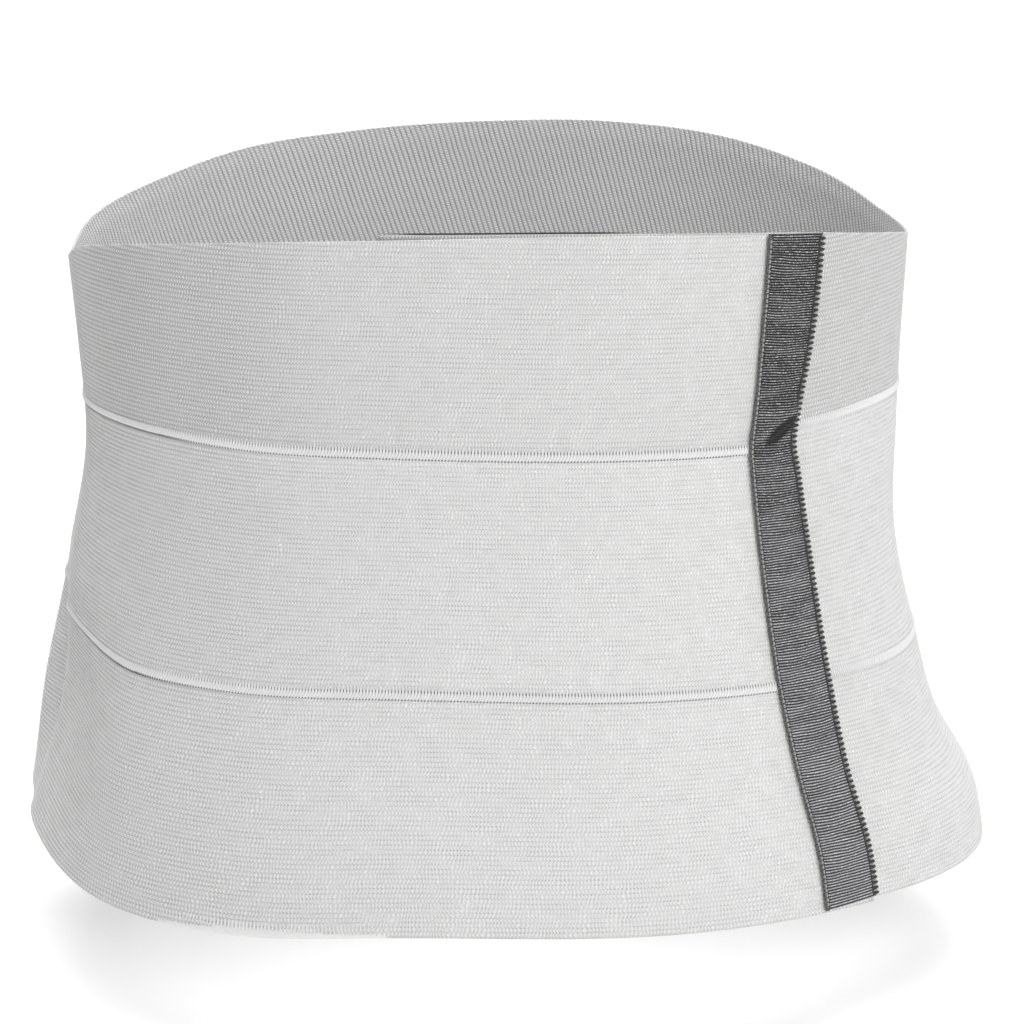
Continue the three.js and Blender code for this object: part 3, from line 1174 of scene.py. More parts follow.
@dataclass(frozen=True)
class RidgeFinish:
    """The padded ridge under a seam's threads, with painted shade: grey where the band starts, and dark
    grooves, darkest at the front.
    """

    name: str
    yarn: Colour
    groove: Colour
    lower_groove: Colour
    soft_groove: Colour
    groove_from: Span = (0.75 * MM, 1.1 * MM)
    lower_groove_from: Span = (-1.2 * MM, -0.85 * MM)
    start_shade: Colour = (0.5, 0.5, 0.5)
    start_shade_until: Span = (330 * MM, 400 * MM)
    ply_pitch: float = 0.5 * MM
    ply_share: float = 0.3
    depth: float = 0.05 * MM
    roughness: float = 0.85

    def build(self, effects: Effects, regions: Regions) -> Material:
        """Makes the material.

        Args:
            effects: The shared node groups.
            regions: Where the cloth's look changes.

        Returns:
            The material.
        """
        surface = Surface(self.name, self.roughness, sheen=0.1)
        wiring = surface.wiring
        places = wiring.uv()
        along, height = wiring.split(places)
        # Painted shade: the ridge is painted grey where the band starts, from the front round the right side.
        yarn = wiring.colour(wiring.ramp(along, *self.start_shade_until), self.start_shade, self.yarn)
        # Painted shade: the grooves above and below the ridge and between its plies are painted dark, lighter
        # at the sides and back.
        before_front = wiring.ramp(along, *regions.side_end, 1.0, 0.0)
        groove = wiring.colour(before_front, self.groove, self.soft_groove)
        lower_groove = wiring.colour(before_front, self.lower_groove, self.soft_groove)
        above = wiring.ramp(height, *self.groove_from)
        below = wiring.ramp(height, *self.lower_groove_from, 1.0, 0.0)
        twist = wiring.group(effects.yarn_twist, Coordinate=places, Ply_Pitch=self.ply_pitch)
        between_plies = wiring.math("MULTIPLY", twist.outputs["Grooves"], self.ply_share)
        crown = wiring.colour(between_plies, yarn, groove)
        surface.paint(wiring.colour(below, wiring.colour(above, crown, groove), lower_groove))
        surface.emboss(twist.outputs["Height"], self.depth)
        return surface.material


@dataclass(frozen=True)
class PlainClothFinish:
    """A plain woven face, seen only at the hem's bead and on hidden strips."""

    name: str
    yarn: Colour
    shadow: Colour
    grain: float = 2500.0
    depth: float = 0.08 * MM
    roughness: float = 0.85

    def build(self, effects: Effects) -> Material:
        """Makes the material.

        Args:
            effects: The shared node groups.

        Returns:
            The material.
        """
        surface = Surface(self.name, self.roughness, sheen=0.1)
        wiring = surface.wiring
        place = wiring.tree.nodes.new("ShaderNodeTexCoord").outputs["Object"]
        grain = wiring.noise(place, self.grain, detail=3.0)
        tone = wiring.group(effects.cloth_tone, Coordinate=place, Streaks=0.0)
        share = wiring.math("MULTIPLY", wiring.ramp(grain, *MIDDLE_NOISE), tone.outputs["Tone"])
        surface.paint(wiring.colour(share, self.yarn, self.shadow))
        surface.emboss(grain, self.depth)
        return surface.material


# The knit's hole colour is painted shade; its shadow colour is painted shade between stitches and in rib
# valleys, and also the yarn's random darker tone.
KNIT_FACE = KnitFinish(
    name="knit_face",
    is_back=False,
    yarn=(0.84, 0.84, 0.835),
    shadow=(0.46, 0.46, 0.455),
    hole_shade=(0.2, 0.2, 0.2),
    depth=0.3 * MM,
    stitch_shade_share=0.36,
    hole_shade_share=0.6,
    tone_share=0.06,
    stitch_shade_by_region=(0.0, -0.14, 0.16),
    rib_shade_by_region=(0.1, 0.38, 0.08),
)
# Painted shade: the upper panel gets a darker copy of the knit face, for the shade that falls on it.
SHADED_UPPER_KNIT_FACE = replace(
    KNIT_FACE,
    name="shaded_upper_knit_face",
    yarn=(0.79, 0.79, 0.785),
    shadow=(0.4, 0.4, 0.395),
    stitch_shade_by_region=(0.3, 0.12, 0.3),
    rib_shade_by_region=(0.1, 0.1, 0.08),
)
KNIT_BACK = KnitFinish(
    name="knit_back",
    is_back=True,
    yarn=(0.85, 0.85, 0.845),
    shadow=(0.42, 0.42, 0.42),
    hole_shade=(0.1, 0.1, 0.1),
    depth=0.4 * MM,
    stitch_shade_share=0.75,
    hole_shade_share=0.55,
    tone_share=0.15,
)
# The threads' groove colours are shade painted between their plies.
WHITE_THREAD = ThreadFinish("white_thread", (0.94, 0.94, 0.935), (0.66, 0.66, 0.66))
GREY_THREAD = ThreadFinish("grey_thread", (0.55, 0.55, 0.55), (0.12, 0.12, 0.12))
DARK_THREAD = ThreadFinish("dark_thread", (0.07, 0.07, 0.072), (0.015, 0.015, 0.016))
# The seam cloth's groove colours are painted shade.
SEAM_CLOTH = RidgeFinish(
    name="seam_cloth",
    yarn=(0.76, 0.76, 0.755),
    groove=(0.38, 0.38, 0.38),
    lower_groove=(0.25, 0.25, 0.25),
    soft_groove=(0.5, 0.5, 0.5),
)
HEM_CLOTH = PlainClothFinish("hem_cloth", (0.78, 0.78, 0.775), (0.68, 0.68, 0.675))
# The tape's top cord and valley colours are painted shade.
TAPE_CLOTH = TapeFinish(
    name="tape_cloth",
    cord=(0.38, 0.38, 0.385),
    shaded_top_cord=(0.12, 0.12, 0.122),
    low_valley=(0.045, 0.045, 0.047),
    valley=(0.008, 0.008, 0.009),
    fleck=(0.86, 0.86, 0.865),
    rolled=(0.24, 0.24, 0.243),
    length=220 * MM,
)
HOOK_CLOTH = PlainClothFinish("hook_cloth", (0.7, 0.7, 0.69), (0.45, 0.45, 0.45), 900.0)


def settle(piece: Piece, slot: Slot, *nodes: str) -> Piece:
    """Makes a piece ride on the body and stand for solids, which it hides.

    Args:
        piece: The piece.
        slot: The record's slot; not used.
        nodes: The solids that it replaces.

    Returns:
        The piece.
    """
    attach(piece, BODY)
    if nodes:
        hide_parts(*nodes)
    return piece


@dataclass
class KnitPanel:
    """One elastic panel: knitted ribs outside, coarse wales inside, and rounded free edges."""

    form: BodyForm
    name: str
    low: Edge
    high: Edge
    nominal_height: float
    columns: int = 288
    inner_rows: int = 36
    rib_pitch: float = 1.55 * MM
    rows_a_rib: int = 4
    rib_share: float = 1.0
    cut_reach: float = 0.8 * MM
    cap_steps: int = 4
    rib_fade: float = 1.2 * MM
    bead_middle: float = 1.2 * MM
    bead_half: float = 0.9 * MM
    bead_out: float = 0.4 * MM
    bead_clear: float = 2.0 * MM
    least_bead: float = 0.1
    edge_thickness: float = 1.2 * MM
    taper_reach: float = 6 * MM

    def spaces(self) -> tuple[float, float]:
        """How far the panel is held back from its low and high edge lines."""
        seam_space = self.form.seam_width / 2 + self.form.clearance
        low = 0.0 if self.low is Edge.HEM else seam_space
        high = 0.0 if self.high is Edge.RIM else seam_space
        return low, high

    def rows(self, room: Array) -> tuple[Array, Array]:
        """Heights of the outer face's rows above its low edge.

        Args:
            room: The outer face's height at each column.

        Returns:
            The real heights and the heights in the cloth's own ribs, as columns by rows.
        """
        pitch = self.rib_pitch / self.rows_a_rib
        if self.high is not Edge.RIM:
            own = np.arange(0, self.nominal_height, pitch)
            return room * own / own[-1], np.broadcast_to(own, (len(room), len(own)))
        own = np.arange(0, float(room.max()), pitch)
        past = np.maximum(own - (room - self.cut_reach), 0) / self.cut_reach
        real = np.minimum(own, room - self.cut_reach) + self.cut_reach * past / (1 + past)
        real = real * room / real[:, -1:]
        return real, real

    def relief(self, turns: Array, own: Array, real: Array, room: Array) -> Array:
        """How far the outer face lies below the plain surface: its ribs' valleys, and the bead above a hem.

        Args:
            turns: The turn of each column.
            own: Heights in the cloth's own ribs.
            real: Real heights above the low edge.
            room: The face's height at each column.

        Returns:
            The depths.
        """
        valley = 0.5 + 0.5 * np.cos(2 * np.pi * own / self.rib_pitch)
        bead = smooth(RELIEF, "turn", "bead", turns) if self.low is Edge.HEM else np.zeros_like(turns)
        start = self.bead_clear * bead
        fade = smoothstep(real - start, 0, self.rib_fade) * (1 - smoothstep(real, room - self.rib_fade, room))
        ribs = self.rib_share * smooth(RELIEF, "turn", "depth", turns) * MM * valley * fade
        return ribs - self.bead_out * bead * bump(real - self.bead_middle, self.bead_half)

    def thinning(self, above_low: Array, below_high: Array) -> Array:
        """How much thinner the cloth gets towards a free edge."""
        to_edge = above_low if self.low is Edge.HEM else below_high
        is_free = self.low is Edge.HEM or self.high is Edge.RIM
        most = self.form.wall - self.edge_thickness if is_free else 0.0
        return most * (1 - smoothstep(to_edge, 0, self.taper_reach))

    def build(self, face: Material, back: Material, bead: Material) -> Piece:
        """Makes the panel.

        Args:
            face: The finish of the outer face and edges.
            back: The finish of the inner face.
            bead: The finish of the hem's bead.

        Returns:
            The panel's object.
        """
        form = self.form
        turns = np.linspace(form.under_end_turn, form.last_turn, self.columns + 1)[:, None]
        low_space, high_space = self.spaces()
        radius = self.edge_thickness / 2
        low_round = radius if self.low is Edge.HEM else 0.0
        high_round = radius if self.high is Edge.RIM else 0.0
        low = form.edge_height(self.low, turns) + low_space + low_round
        high = form.edge_height(self.high, turns) - high_space - high_round
        real, own = self.rows(high - low)
        outer_z = low + real
        outer_depth = self.relief(turns, own, real, high - low)
        shares = np.linspace(1, 0, self.inner_rows + 1)
        inner_z = mix(low, high, shares)
        inner_depth = form.wall - self.thinning(inner_z - low, high - inner_z)
        arc = np.linspace(0, np.pi, self.cap_steps + 2)[1:-1]
        top_z = high + high_round * np.sin(arc)
        top_depth = np.broadcast_to(radius * (1 - np.cos(arc)), top_z.shape)
        bottom_z = low - low_round * np.sin(arc)
        bottom_depth = np.broadcast_to(radius * (1 + np.cos(arc)), bottom_z.shape)
        z = np.concatenate([outer_z, top_z, inner_z, bottom_z], axis=1)
        depth = np.concatenate([outer_depth, top_depth, inner_depth, bottom_depth], axis=1)
        points = form.band_point(turns, z, depth)
        along = form.waist_length(form.band_turn(turns, 0.0))
        top_v = own[:, -1:] + radius * arc
        inner_v = inner_z - low
        bottom_v = np.broadcast_to(-radius * arc, top_v.shape)
        v = np.concatenate([own, top_v, inner_v, bottom_v, own[:, :1]], axis=1)
        uv = np.stack([np.broadcast_to(along, v.shape), v], axis=-1)
        strips = np.zeros((len(turns) - 1, z.shape[1]), int)
        first_inner = outer_z.shape[1] + len(arc)
        strips[:, first_inner - len(arc) // 2 : first_inner + self.inner_rows] = 1
        if self.low is Edge.HEM:
            bead_shares = smooth(RELIEF, "turn", "bead", turns[:-1, 0])
            beaded = bead_shares > self.least_bead
            smooth_rows = np.searchsorted(own[0], self.bead_clear * bead_shares) * beaded
            strips[np.arange(strips.shape[1]) < smooth_rows[:, None]] = 2
            strips[beaded, first_inner + self.inner_rows :] = 2
        draft = MeshDraft(self.name, [face, back, bead])
        index = draft.add_grid(points, uv, strips, wraps=True)
        draft.add_caps(index)
        return draft.build()

    def flat_size(self) -> tuple[float, float]:
        """The panel's cut size: its height at the front and the band's length round the waist."""
        return self.nominal_height, float(self.form.waist_length(self.form.last_turn))


class SeamPoint(NamedTuple):
    """A point of a seam's section: its height from the seam's line and its depth below the surface."""

    height: float
    depth: float


@dataclass
class CoverSeam:
    """A seam between two panels: a padded ridge with threads that cross it, one for each stitch."""

    form: BodyForm
    name: str
    edge: Edge
    columns: int = 480
    stitch_pitch: float = 1.03 * MM
    ditch_depth: float = 0.6 * MM
    ditch_from: float = -0.8 * MM
    thread_ends: float = -0.7 * MM
    least_reach: float = 0.6
    shy_sink: float = 0.14 * MM
    bare_from: Span = (-0.3, 1.2)
    least_bare: float = 0.01

    section = (
        SeamPoint(-1.58, 0.75),
        SeamPoint(-1.3, 0.2),
        SeamPoint(-0.9, -0.15),
        SeamPoint(-0.35, -0.34),
        SeamPoint(0.2, -0.34),
        SeamPoint(0.8, -0.05),
        SeamPoint(1.1, 0.3),
        SeamPoint(1.58, 0.7),
        SeamPoint(1.58, 1.3),
        SeamPoint(0.9, 2.15),
        SeamPoint(0.0, 2.35),
        SeamPoint(-0.9, 2.15),
        SeamPoint(-1.58, 1.3),
    )
    thread_route = (
        SeamPoint(-2.0, 0.35),
        SeamPoint(-1.6, 0.0),
        SeamPoint(-0.9, -0.22),
        SeamPoint(-0.2, -0.34),
        SeamPoint(0.4, -0.26),
        SeamPoint(0.9, -0.12),
        SeamPoint(1.75, -0.2),
        SeamPoint(2.25, 0.3),
    )
    thread_lean = (-0.5, -0.45, -0.3, 0.1, 0.4, 0.5, 0.5, 0.5)
    thread_radii = (0.2, 0.25, 0.3, 0.34, 0.36, 0.38, 0.37, 0.24)

    def bare(self, turns: Array) -> Array:
        """Falls from 1 to 0 before the tape covers the seam."""
        z = self.form.edge_height(self.edge, turns)
        start = self.form.back_from_tape_edge(self.form.tape_reach(z), z)
        return 1 - smoothstep(self.form.band_turn(turns, z) - start, *self.bare_from)

    def build(self, cloth: Material, thread: Material) -> Piece:
        """Makes the seam.

        Args:
            cloth: The finish of the ridge.
            thread: The finish of the stitches.

        Returns:
            The seam's object.
        """
        draft = MeshDraft(self.name, [cloth, thread])
        self.add_ridge(draft)
        self.add_stitches(draft)
        return draft.build()

    def add_ridge(self, draft: MeshDraft) -> None:
        """Adds the padded ridge to a draft."""
        form = self.form
        turns = np.linspace(form.under_end_turn, form.last_turn, self.columns + 1)[:, None]
        heights = column(self.section, "height") * MM
        depths = column(self.section, "depth") * MM
        z = form.edge_height(self.edge, turns) + heights
        proud = np.minimum(depths, 0) * self.bare(turns)
        open_groove = smooth(STITCHING, "turn", "groove", turns)
        is_groove = (depths > 0) & (depths < form.wall / 2)
        ditch = smooth(STITCHING, "turn", "ditch", turns) * self.ditch_depth
        is_ditch = (heights < self.ditch_from) & (depths < form.wall / 2)
        sunk = np.maximum(depths, 0) * np.where(is_groove, open_groove, 1) + np.where(is_ditch, ditch, 0)
        points = form.band_point(turns, z, proud + sunk)
        around = np.concatenate([heights, heights[:1]])
        along = form.waist_length(form.band_turn(turns, 0.0))
        # The ditch moves the low points' texture places down, so the shade painted below the ridge spreads
        # over it.
        uv = np.stack(np.broadcast_arrays(along, np.where(around < 0, around - ditch, around)), axis=-1)
        index = draft.add_grid(points, uv, wraps=True)
        draft.add_caps(index)

    def add_stitches(self, draft: MeshDraft) -> None:
        """Adds the threads that cross the ridge to a draft."""
        form = self.form
        turns = form.even_turns(self.edge, self.stitch_pitch)
        shows = smooth(STITCHING, "turn", "shows", turns)
        bare = self.bare(turns)
        keep = bare > self.least_bare
        turns = turns[keep][:, None]
        shows = shows[keep][:, None]
        bare = bare[keep][:, None]
        heights = column(self.thread_route, "height") * MM * mix(self.least_reach, 1.0, shows)
        depths = column(self.thread_route, "depth") * MM
        lean = np.array(self.thread_lean) * self.stitch_pitch
        base = form.edge_height(self.edge, turns)
        degrees = lean / form.degree_length(form.band_turn(turns, base), base)
        z = form.edge_height(self.edge, turns + degrees) + heights
        into_ditch = np.where(heights < self.thread_ends, 2 * self.ditch_depth, 0)
        ditch = smooth(STITCHING, "turn", "ditch", turns) * into_ditch
        sunk = (1 - shows) * self.shy_sink + ditch
        depths = np.minimum(depths, 0) * bare + np.maximum(depths, 0)
        paths = form.band_point(turns + degrees, z, depths + sunk)
        inward = form.inward(form.band_turn(turns, base), base)[:, 0]
        draft.add_threads(paths, level_outward(inward), np.array(self.thread_radii) * MM, finish=1)


class RungPoint(NamedTuple):
    """A point of a rung of the hem's ladder: its share of the rung and its depth in millimetres."""

    share: float
    depth: float


@dataclass
class HemStitches:
    """The ladder of short stitches above the lower panel's edge, where its bead shows."""

    form: BodyForm
    name: str = "hem_stitches"
    pitch: float = 1.25 * MM
    radius: float = 0.3 * MM
    least_share: float = 0.15
    least_radius_share: float = 0.5
    low: float = 2.55 * MM
    high: float = 5.1 * MM

    rung = (
        RungPoint(0.0, 0.3),
        RungPoint(0.15, -0.06),
        RungPoint(0.5, -0.1),
        RungPoint(0.85, -0.06),
        RungPoint(1.0, 0.3),
    )

    def build(self, thread: Material) -> Piece:
        """Makes the ladder.

        Args:
            thread: The finish of the stitches.

        Returns:
            The ladder's object.
        """
        form = self.form
        turns = form.even_turns(Edge.HEM, self.pitch)[:, None]
        shows = smooth(RELIEF, "turn", "bead", turns)
        kept = shows[:, 0] > self.least_share
        turns = turns[kept]
        shows = shows[kept]
        z = form.edge_height(Edge.HEM, turns) + mix(self.low, self.high, column(self.rung, "share"))
        paths = form.band_point(turns, z, column(self.rung, "depth") * MM)
        inward = form.inward(form.band_turn(turns, z[:, :1]), z[:, :1])[:, 0]
        radii = self.radius * mix(self.least_radius_share, 1.0, shows) * np.ones(len(self.rung))
        draft = MeshDraft(self.name, [thread])
        draft.add_threads(paths, level_outward(inward), radii)
        return draft.build()


@dataclass
class RimShadeCord:
    """A dark cord along the under layer's rim where it peeps out above the front, put there as painted shade
    for the shadow line.
    """

    form: BodyForm
    name: str = "rim_shade_cord"
    last_turn: float = 26
    radius: float = 0.28 * MM
    points: int = 90
    inset: float = 0.8 * MM
    taper: Span = (-1.0, 8.0)

    def build(self, thread: Material) -> Piece:
        """Makes the cord.

        Args:
            thread: The finish of the cord.

        Returns:
            The thread's object.
        """
        turns = np.linspace(self.form.under_end_turn, self.last_turn, self.points)
        z = self.form.edge_height(Edge.RIM, turns) + self.radius
        path = self.form.band_point(turns, z, self.inset)
        outward = unit(path[self.points // 2] * np.array([1, 1, 0]))
        draft = MeshDraft(self.name, [thread])
        ends = np.minimum(turns - turns[0], turns[-1] - turns)
        draft.add_threads(path[None], outward[None], self.radius * smoothstep(ends, *self.taper))
        return draft.build()


class TapeStop(NamedTuple):
    """A stop on the folded tape's way round the lapped end: millimetres back from its edge, and a depth."""

    back: float
    depth: float


class CrossPoint(NamedTuple):
    """A point of a stitch across the tape's edge, in millimetres: back from it, deep, and its radius."""

    back: float
    depth: float
    radius: float


class RunPoint(NamedTuple):
    """A point of a stitch along the tape: its share of the pitch, and its depth and radius in millimetres."""

    along: float
    depth: float
    radius: float


class CordWave(NamedTuple):
    """A slight wave in the tape's cords: its length in millimetres, its turns up the tape, and its share."""

    length: float
    turns: float
    share: float


@dataclass
class EdgeTape:
    """The grosgrain tape folded over the lapped end, with its rows of stitches."""

    form: BodyForm
    pinch: Pinch
    name: str = "edge_binding"
    ribs: int = 250
    rows_a_rib: int = 4
    rib_pitch: float = 0.885 * MM
    rib_depth: float = 0.26 * MM
    stretch: float = 0.062
    roll_height: float = 0.35 * MM
    roll_middle: float = 1.0 * MM
    roll_half: float = 1.0 * MM
    groove_depth: float = 0.3 * MM
    groove_middle: float = 2.2 * MM
    groove_half: float = 0.5 * MM
    front_columns: int = 20
    back_columns: int = 5
    inner_step: int = 3
    nose_reach: float = 1.2 * MM
    overlock_pitch: float = 1.75 * MM
    overlock_shade_back: float = 1.95 * MM
    chain_pitch: float = 1.55 * MM
    chain_from_edge: float = 1.05 * MM
    top_overlap: float = 0.5 * MM
    top_from: float = 0.9
    hem_showing: float = 1.9 * MM
    end_slope: float = 0.06
    low_slope: float = 0.02
    top_slope_loss: float = 0.07
    low_end: Span = (0.0, 0.06)
    top_turn: Span = (0.4, 0.9)
    calm_low: Span = (0.0, 0.05)
    calm_top: Span = (0.96, 1.0)
    bow: float = 0.35 * MM
    wobble: float = 0.11 * MM

    waves = (CordWave(19.0, 17.0, 1.0), CordWave(8.3, -31.0, 0.4))
    edge_stops = (0.0, 0.2, 0.5, 0.9, 1.3, 1.7, 2.1, 2.4, 2.8, 3.2)
    nose = (
        TapeStop(0.5, -0.95),
        TapeStop(0.12, -0.5),
        TapeStop(0.0, 0.2),
        TapeStop(0.0, 1.0),
        TapeStop(0.0, 1.8),
        TapeStop(0.12, 2.5),
        TapeStop(0.5, 2.95),
    )
    overlock_block = (
        CrossPoint(1.7, 0.4, 0.35),
        CrossPoint(1.35, -0.1, 0.46),
        CrossPoint(0.8, -0.25, 0.5),
        CrossPoint(0.2, -0.2, 0.5),
        CrossPoint(-0.1, 0.5, 0.46),
        CrossPoint(-0.1, 1.6, 0.42),
        CrossPoint(0.3, 2.4, 0.3),
    )
    overlock_loop = (
        CrossPoint(1.35, 0.2, 0.22),
        CrossPoint(1.0, -0.25, 0.38),
        CrossPoint(0.55, -0.25, 0.38),
        CrossPoint(0.1, 0.2, 0.22),
    )
    overlock_shade_line = (
        RunPoint(-0.6, 0.2, 0.2),
        RunPoint(-0.3, -0.1, 0.34),
        RunPoint(0.0, -0.15, 0.36),
        RunPoint(0.3, -0.1, 0.34),
        RunPoint(0.6, 0.2, 0.2),
    )
    chain = (
        RunPoint(-0.42, 0.3, 0.15),
        RunPoint(-0.25, -0.05, 0.3),
        RunPoint(0.0, -0.2, 0.36),
        RunPoint(0.25, -0.05, 0.3),
        RunPoint(0.42, 0.3, 0.15),
    )

    @property
    def surface(self) -> float:
        """The depth of the front leg's outer surface, apart from its roll, groove and fold."""
        return -(self.form.clearance + self.form.tape_thickness)

    def ends(self) -> tuple[float, float]:
        """Heights of the tape's lower and upper ends."""
        middle = self.form.back_from_tape_edge(self.form.tape_width / 2, np.array(0.0))
        low = float(self.form.edge_height(Edge.HEM, middle)) + self.hem_showing
        high = float(self.form.edge_height(Edge.RIM, middle))
        return low, high

    def rib_height(self, share: Array) -> Array:
        """The height of a row at a share of the tape, whose ribs lie closer at the top."""
        low, high = self.ends()
        return mix(low, high, share * (1 + self.stretch) - self.stretch * share * share)

    def flat_size(self) -> tuple[float, float]:
        """The tape's cut size: its width when opened out, and its length from end to end."""
        form = self.form
        low, high = self.ends()
        return form.tape_width + form.tape_foldback + form.wall + 2 * form.tape_thickness, high - low

    def pinch_place(self) -> tuple[float, float]:
        """Where the pinched fold's shade lies: distance from the inner edge, and tape's length from below."""
        shares = np.linspace(0, 1, self.ribs)
        low_side = self.pinch.level - self.pinch.shade_below * self.pinch.reach_below
        share = float(np.interp(low_side, self.rib_height(shares), shares))
        across = float(self.form.tape_reach(np.array(self.pinch.level))) - self.pinch.back
        return across, share * self.ribs * self.rib_pitch

    def pinch_out(self, distance: Array, z: Array) -> Array:
        """How far the pinched fold stands out: a gentle slope above its line and a steep one below.

        Args:
            distance: Distance back from the tape's outer edge.
            z: Height.

        Returns:
            The height of the fold.
        """
        pinch = self.pinch
        off = z - pinch.level - pinch.slope * (pinch.back - distance)
        reach = np.where(off > 0, pinch.reach_above, pinch.reach_below)
        along = bump(distance - pinch.back, pinch.stretch * pinch.half_length)
        return pinch.height * bump(off, reach) * along

    def front_depth(self, distance: Array, z: Array) -> Array:
        """Depth of the front leg's outer surface, with its rolled edge, groove and pinched fold."""
        from_edge = self.form.tape_reach(z) - distance
        rolled = self.roll_height * bump(from_edge - self.roll_middle, self.roll_half)
        groove = self.groove_depth * bump(from_edge - self.groove_middle, self.groove_half)
        return groove + self.surface - rolled - self.pinch_out(distance, z)

    def build(self, cloth: Material) -> Piece:
        """Makes the tape.

        Args:
            cloth: The tape's finish.

        Returns:
            The tape's object.
        """
        form = self.form
        share = np.linspace(0, 1, self.ribs * self.rows_a_rib + 1)[:, None]
        z0 = self.rib_height(share)
        reach = form.tape_reach(z0)
        ones = np.ones_like(z0)
        thick = form.tape_thickness
        edge_stops = np.array(self.edge_stops) * MM
        front_shares = np.linspace(0, 1, self.front_columns + 1)[1:]
        rest = mix(reach - edge_stops[-1], self.nose_reach, front_shares)
        nose_back = ones * column(self.nose, "back") * MM
        nose_depth = ones * column(self.nose, "depth") * MM
        back = ones * np.linspace(self.nose_reach, form.tape_foldback, self.back_columns)
        front = np.concatenate([reach - edge_stops, rest], axis=1)
        outer = np.concatenate([front, nose_back, back], axis=1)
        z = self.tilted(z0, share, outer, reach)
        split = front.shape[1]
        is_front = np.arange(outer.shape[1]) < split + len(self.nose) // 2
        overlap = np.where(is_front, self.top_overlap, -self.top_overlap)
        z = z + (self.end_shift(outer) + overlap) * smoothstep(share, self.top_from, 1)
        back_depth = np.full_like(back, form.wall + form.clearance + thick)
        outer_depth = np.concatenate([self.front_depth(front, z[:, :split]), nose_depth, back_depth], axis=1)
        into_tape = np.where(outer_depth > form.wall / 2, -1, 1)
        outer_depth = outer_depth + self.cords(share, reach - outer) * into_tape
        back_to_start = slice(None, None, -self.inner_step)
        inner = np.maximum(outer, thick)[:, back_to_start]
        inner_depth = np.clip(outer_depth, -form.clearance, form.wall + form.clearance)[:, back_to_start]
        distance = np.concatenate([outer, inner], axis=1)
        depth = np.concatenate([outer_depth, inner_depth], axis=1)
        z = np.concatenate([z, z[:, back_to_start]], axis=1)
        points = form.body_point(form.back_from_tape_edge(distance, z), z, depth)
        across = reach - distance
        across[:, split + len(self.nose) :] = reach + back[:, :1]
        across = np.concatenate([across, across[:, :1]], axis=1)
        up = np.broadcast_to(share * self.ribs * self.rib_pitch, across.shape)
        draft = MeshDraft(self.name, [cloth])
        index = draft.add_grid(points[:, ::-1], np.stack([across, up], axis=-1)[:, ::-1], wraps=True)
        draft.add_caps(index)
        return draft.build()

    def end_shift(self, distance: Array) -> Array:
        """How far the tape's upper end rises above its middle, as it follows the rim."""
        _, high = self.ends()
        turns = self.form.back_from_tape_edge(distance, np.array(high))
        return self.form.edge_height(Edge.RIM, turns) - high

    def cords(self, share: Array, from_edge: Array) -> Array:
        """How far the valleys between the cords lie below their crests. The rolled edge has none."""
        valley = 0.5 - 0.5 * np.cos(2 * np.pi * share * self.ribs)
        groove_end = self.groove_middle + self.groove_half
        return self.rib_depth * valley * smoothstep(from_edge, self.groove_middle, groove_end)

    def tilted(self, z0: Array, share: Array, distance: Array, reach: Array) -> Array:
        """Heights of a rib, which lies square to the leaning tape and bows a little.

        Args:
            z0: The rib's height at the middle of the tape.
            share: The rib's share of the tape's length.
            distance: Distances back from the outer edge.
            reach: The front leg's width.

        Returns:
            The heights.
        """
        near_end = mix(self.end_slope, self.low_slope, smoothstep(share, *self.low_end))
        slope = near_end - self.top_slope_loss * smoothstep(share, *self.top_turn)
        below_top = 1 - smoothstep(share, *self.calm_top)
        inside = smoothstep(share, *self.calm_low) * below_top
        off = np.clip(reach / 2 - distance, -reach / 2, reach / 2)
        bowed = self.bow * (2 * off / reach) ** 2
        wavy = np.zeros_like(distance)
        for wave in self.waves:
            phase = distance / (wave.length * MM) + wave.turns * share
            wavy = wavy + self.wobble * wave.share * np.sin(2 * np.pi * phase)
        return z0 + slope * off * below_top + (bowed + wavy) * inside

    def row_heights(self, pitch: float) -> Array:
        """Heights of evenly spaced stitches along the tape."""
        low, high = self.ends()
        return np.arange(low + pitch, high - pitch / 2, pitch)[:, None]

    def add_row(
        self, draft: MeshDraft, z: Array, distance: Array, depth: Array, radii: Array, finish: int
    ) -> None:
        """Adds one row of stitches to a draft.

        Args:
            draft: The draft.
            z: Heights of the stitches' points.
            distance: Distances of the points back from the outer edge.
            depth: Depths of the points.
            radii: The threads' radii.
            finish: The threads' finish.
        """
        form = self.form
        z, distance = np.broadcast_arrays(z, distance)
        turns = form.back_from_tape_edge(distance, z)
        paths = form.body_point(turns, z, depth)
        draft.add_threads(paths, level_outward(form.inward(turns, z)[:, 0]), radii, finish)

    def build_stitches(self, dark: Material, light: Material) -> Piece:
        """Makes the dark overlock blocks on the outer edge and the chain of light stitches on the other.

        Args:
            dark: The finish of the overlock thread.
            light: The finish of the chain stitch.

        Returns:
            The stitches' object.
        """
        draft = MeshDraft("tape_stitches", [dark, light])
        self.add_overlock(draft)
        self.add_chain(draft)
        return draft.build()

    def add_overlock(self, draft: MeshDraft) -> None:
        """Adds dark blocks of thread round the outer edge, light loops between them, and a run of dark thread
        beside them as painted shade.

        Args:
            draft: The draft, whose finishes are the dark and the light thread.
        """
        z = self.row_heights(self.overlock_pitch)
        between = z + self.overlock_pitch / 2
        for heights, stitch, finish in ((z, self.overlock_block, 0), (between, self.overlock_loop, 1)):
            depth = self.surface + column(stitch, "depth") * MM
            self.add_row(
                draft, heights, column(stitch, "back") * MM, depth, column(stitch, "radius") * MM, finish
            )
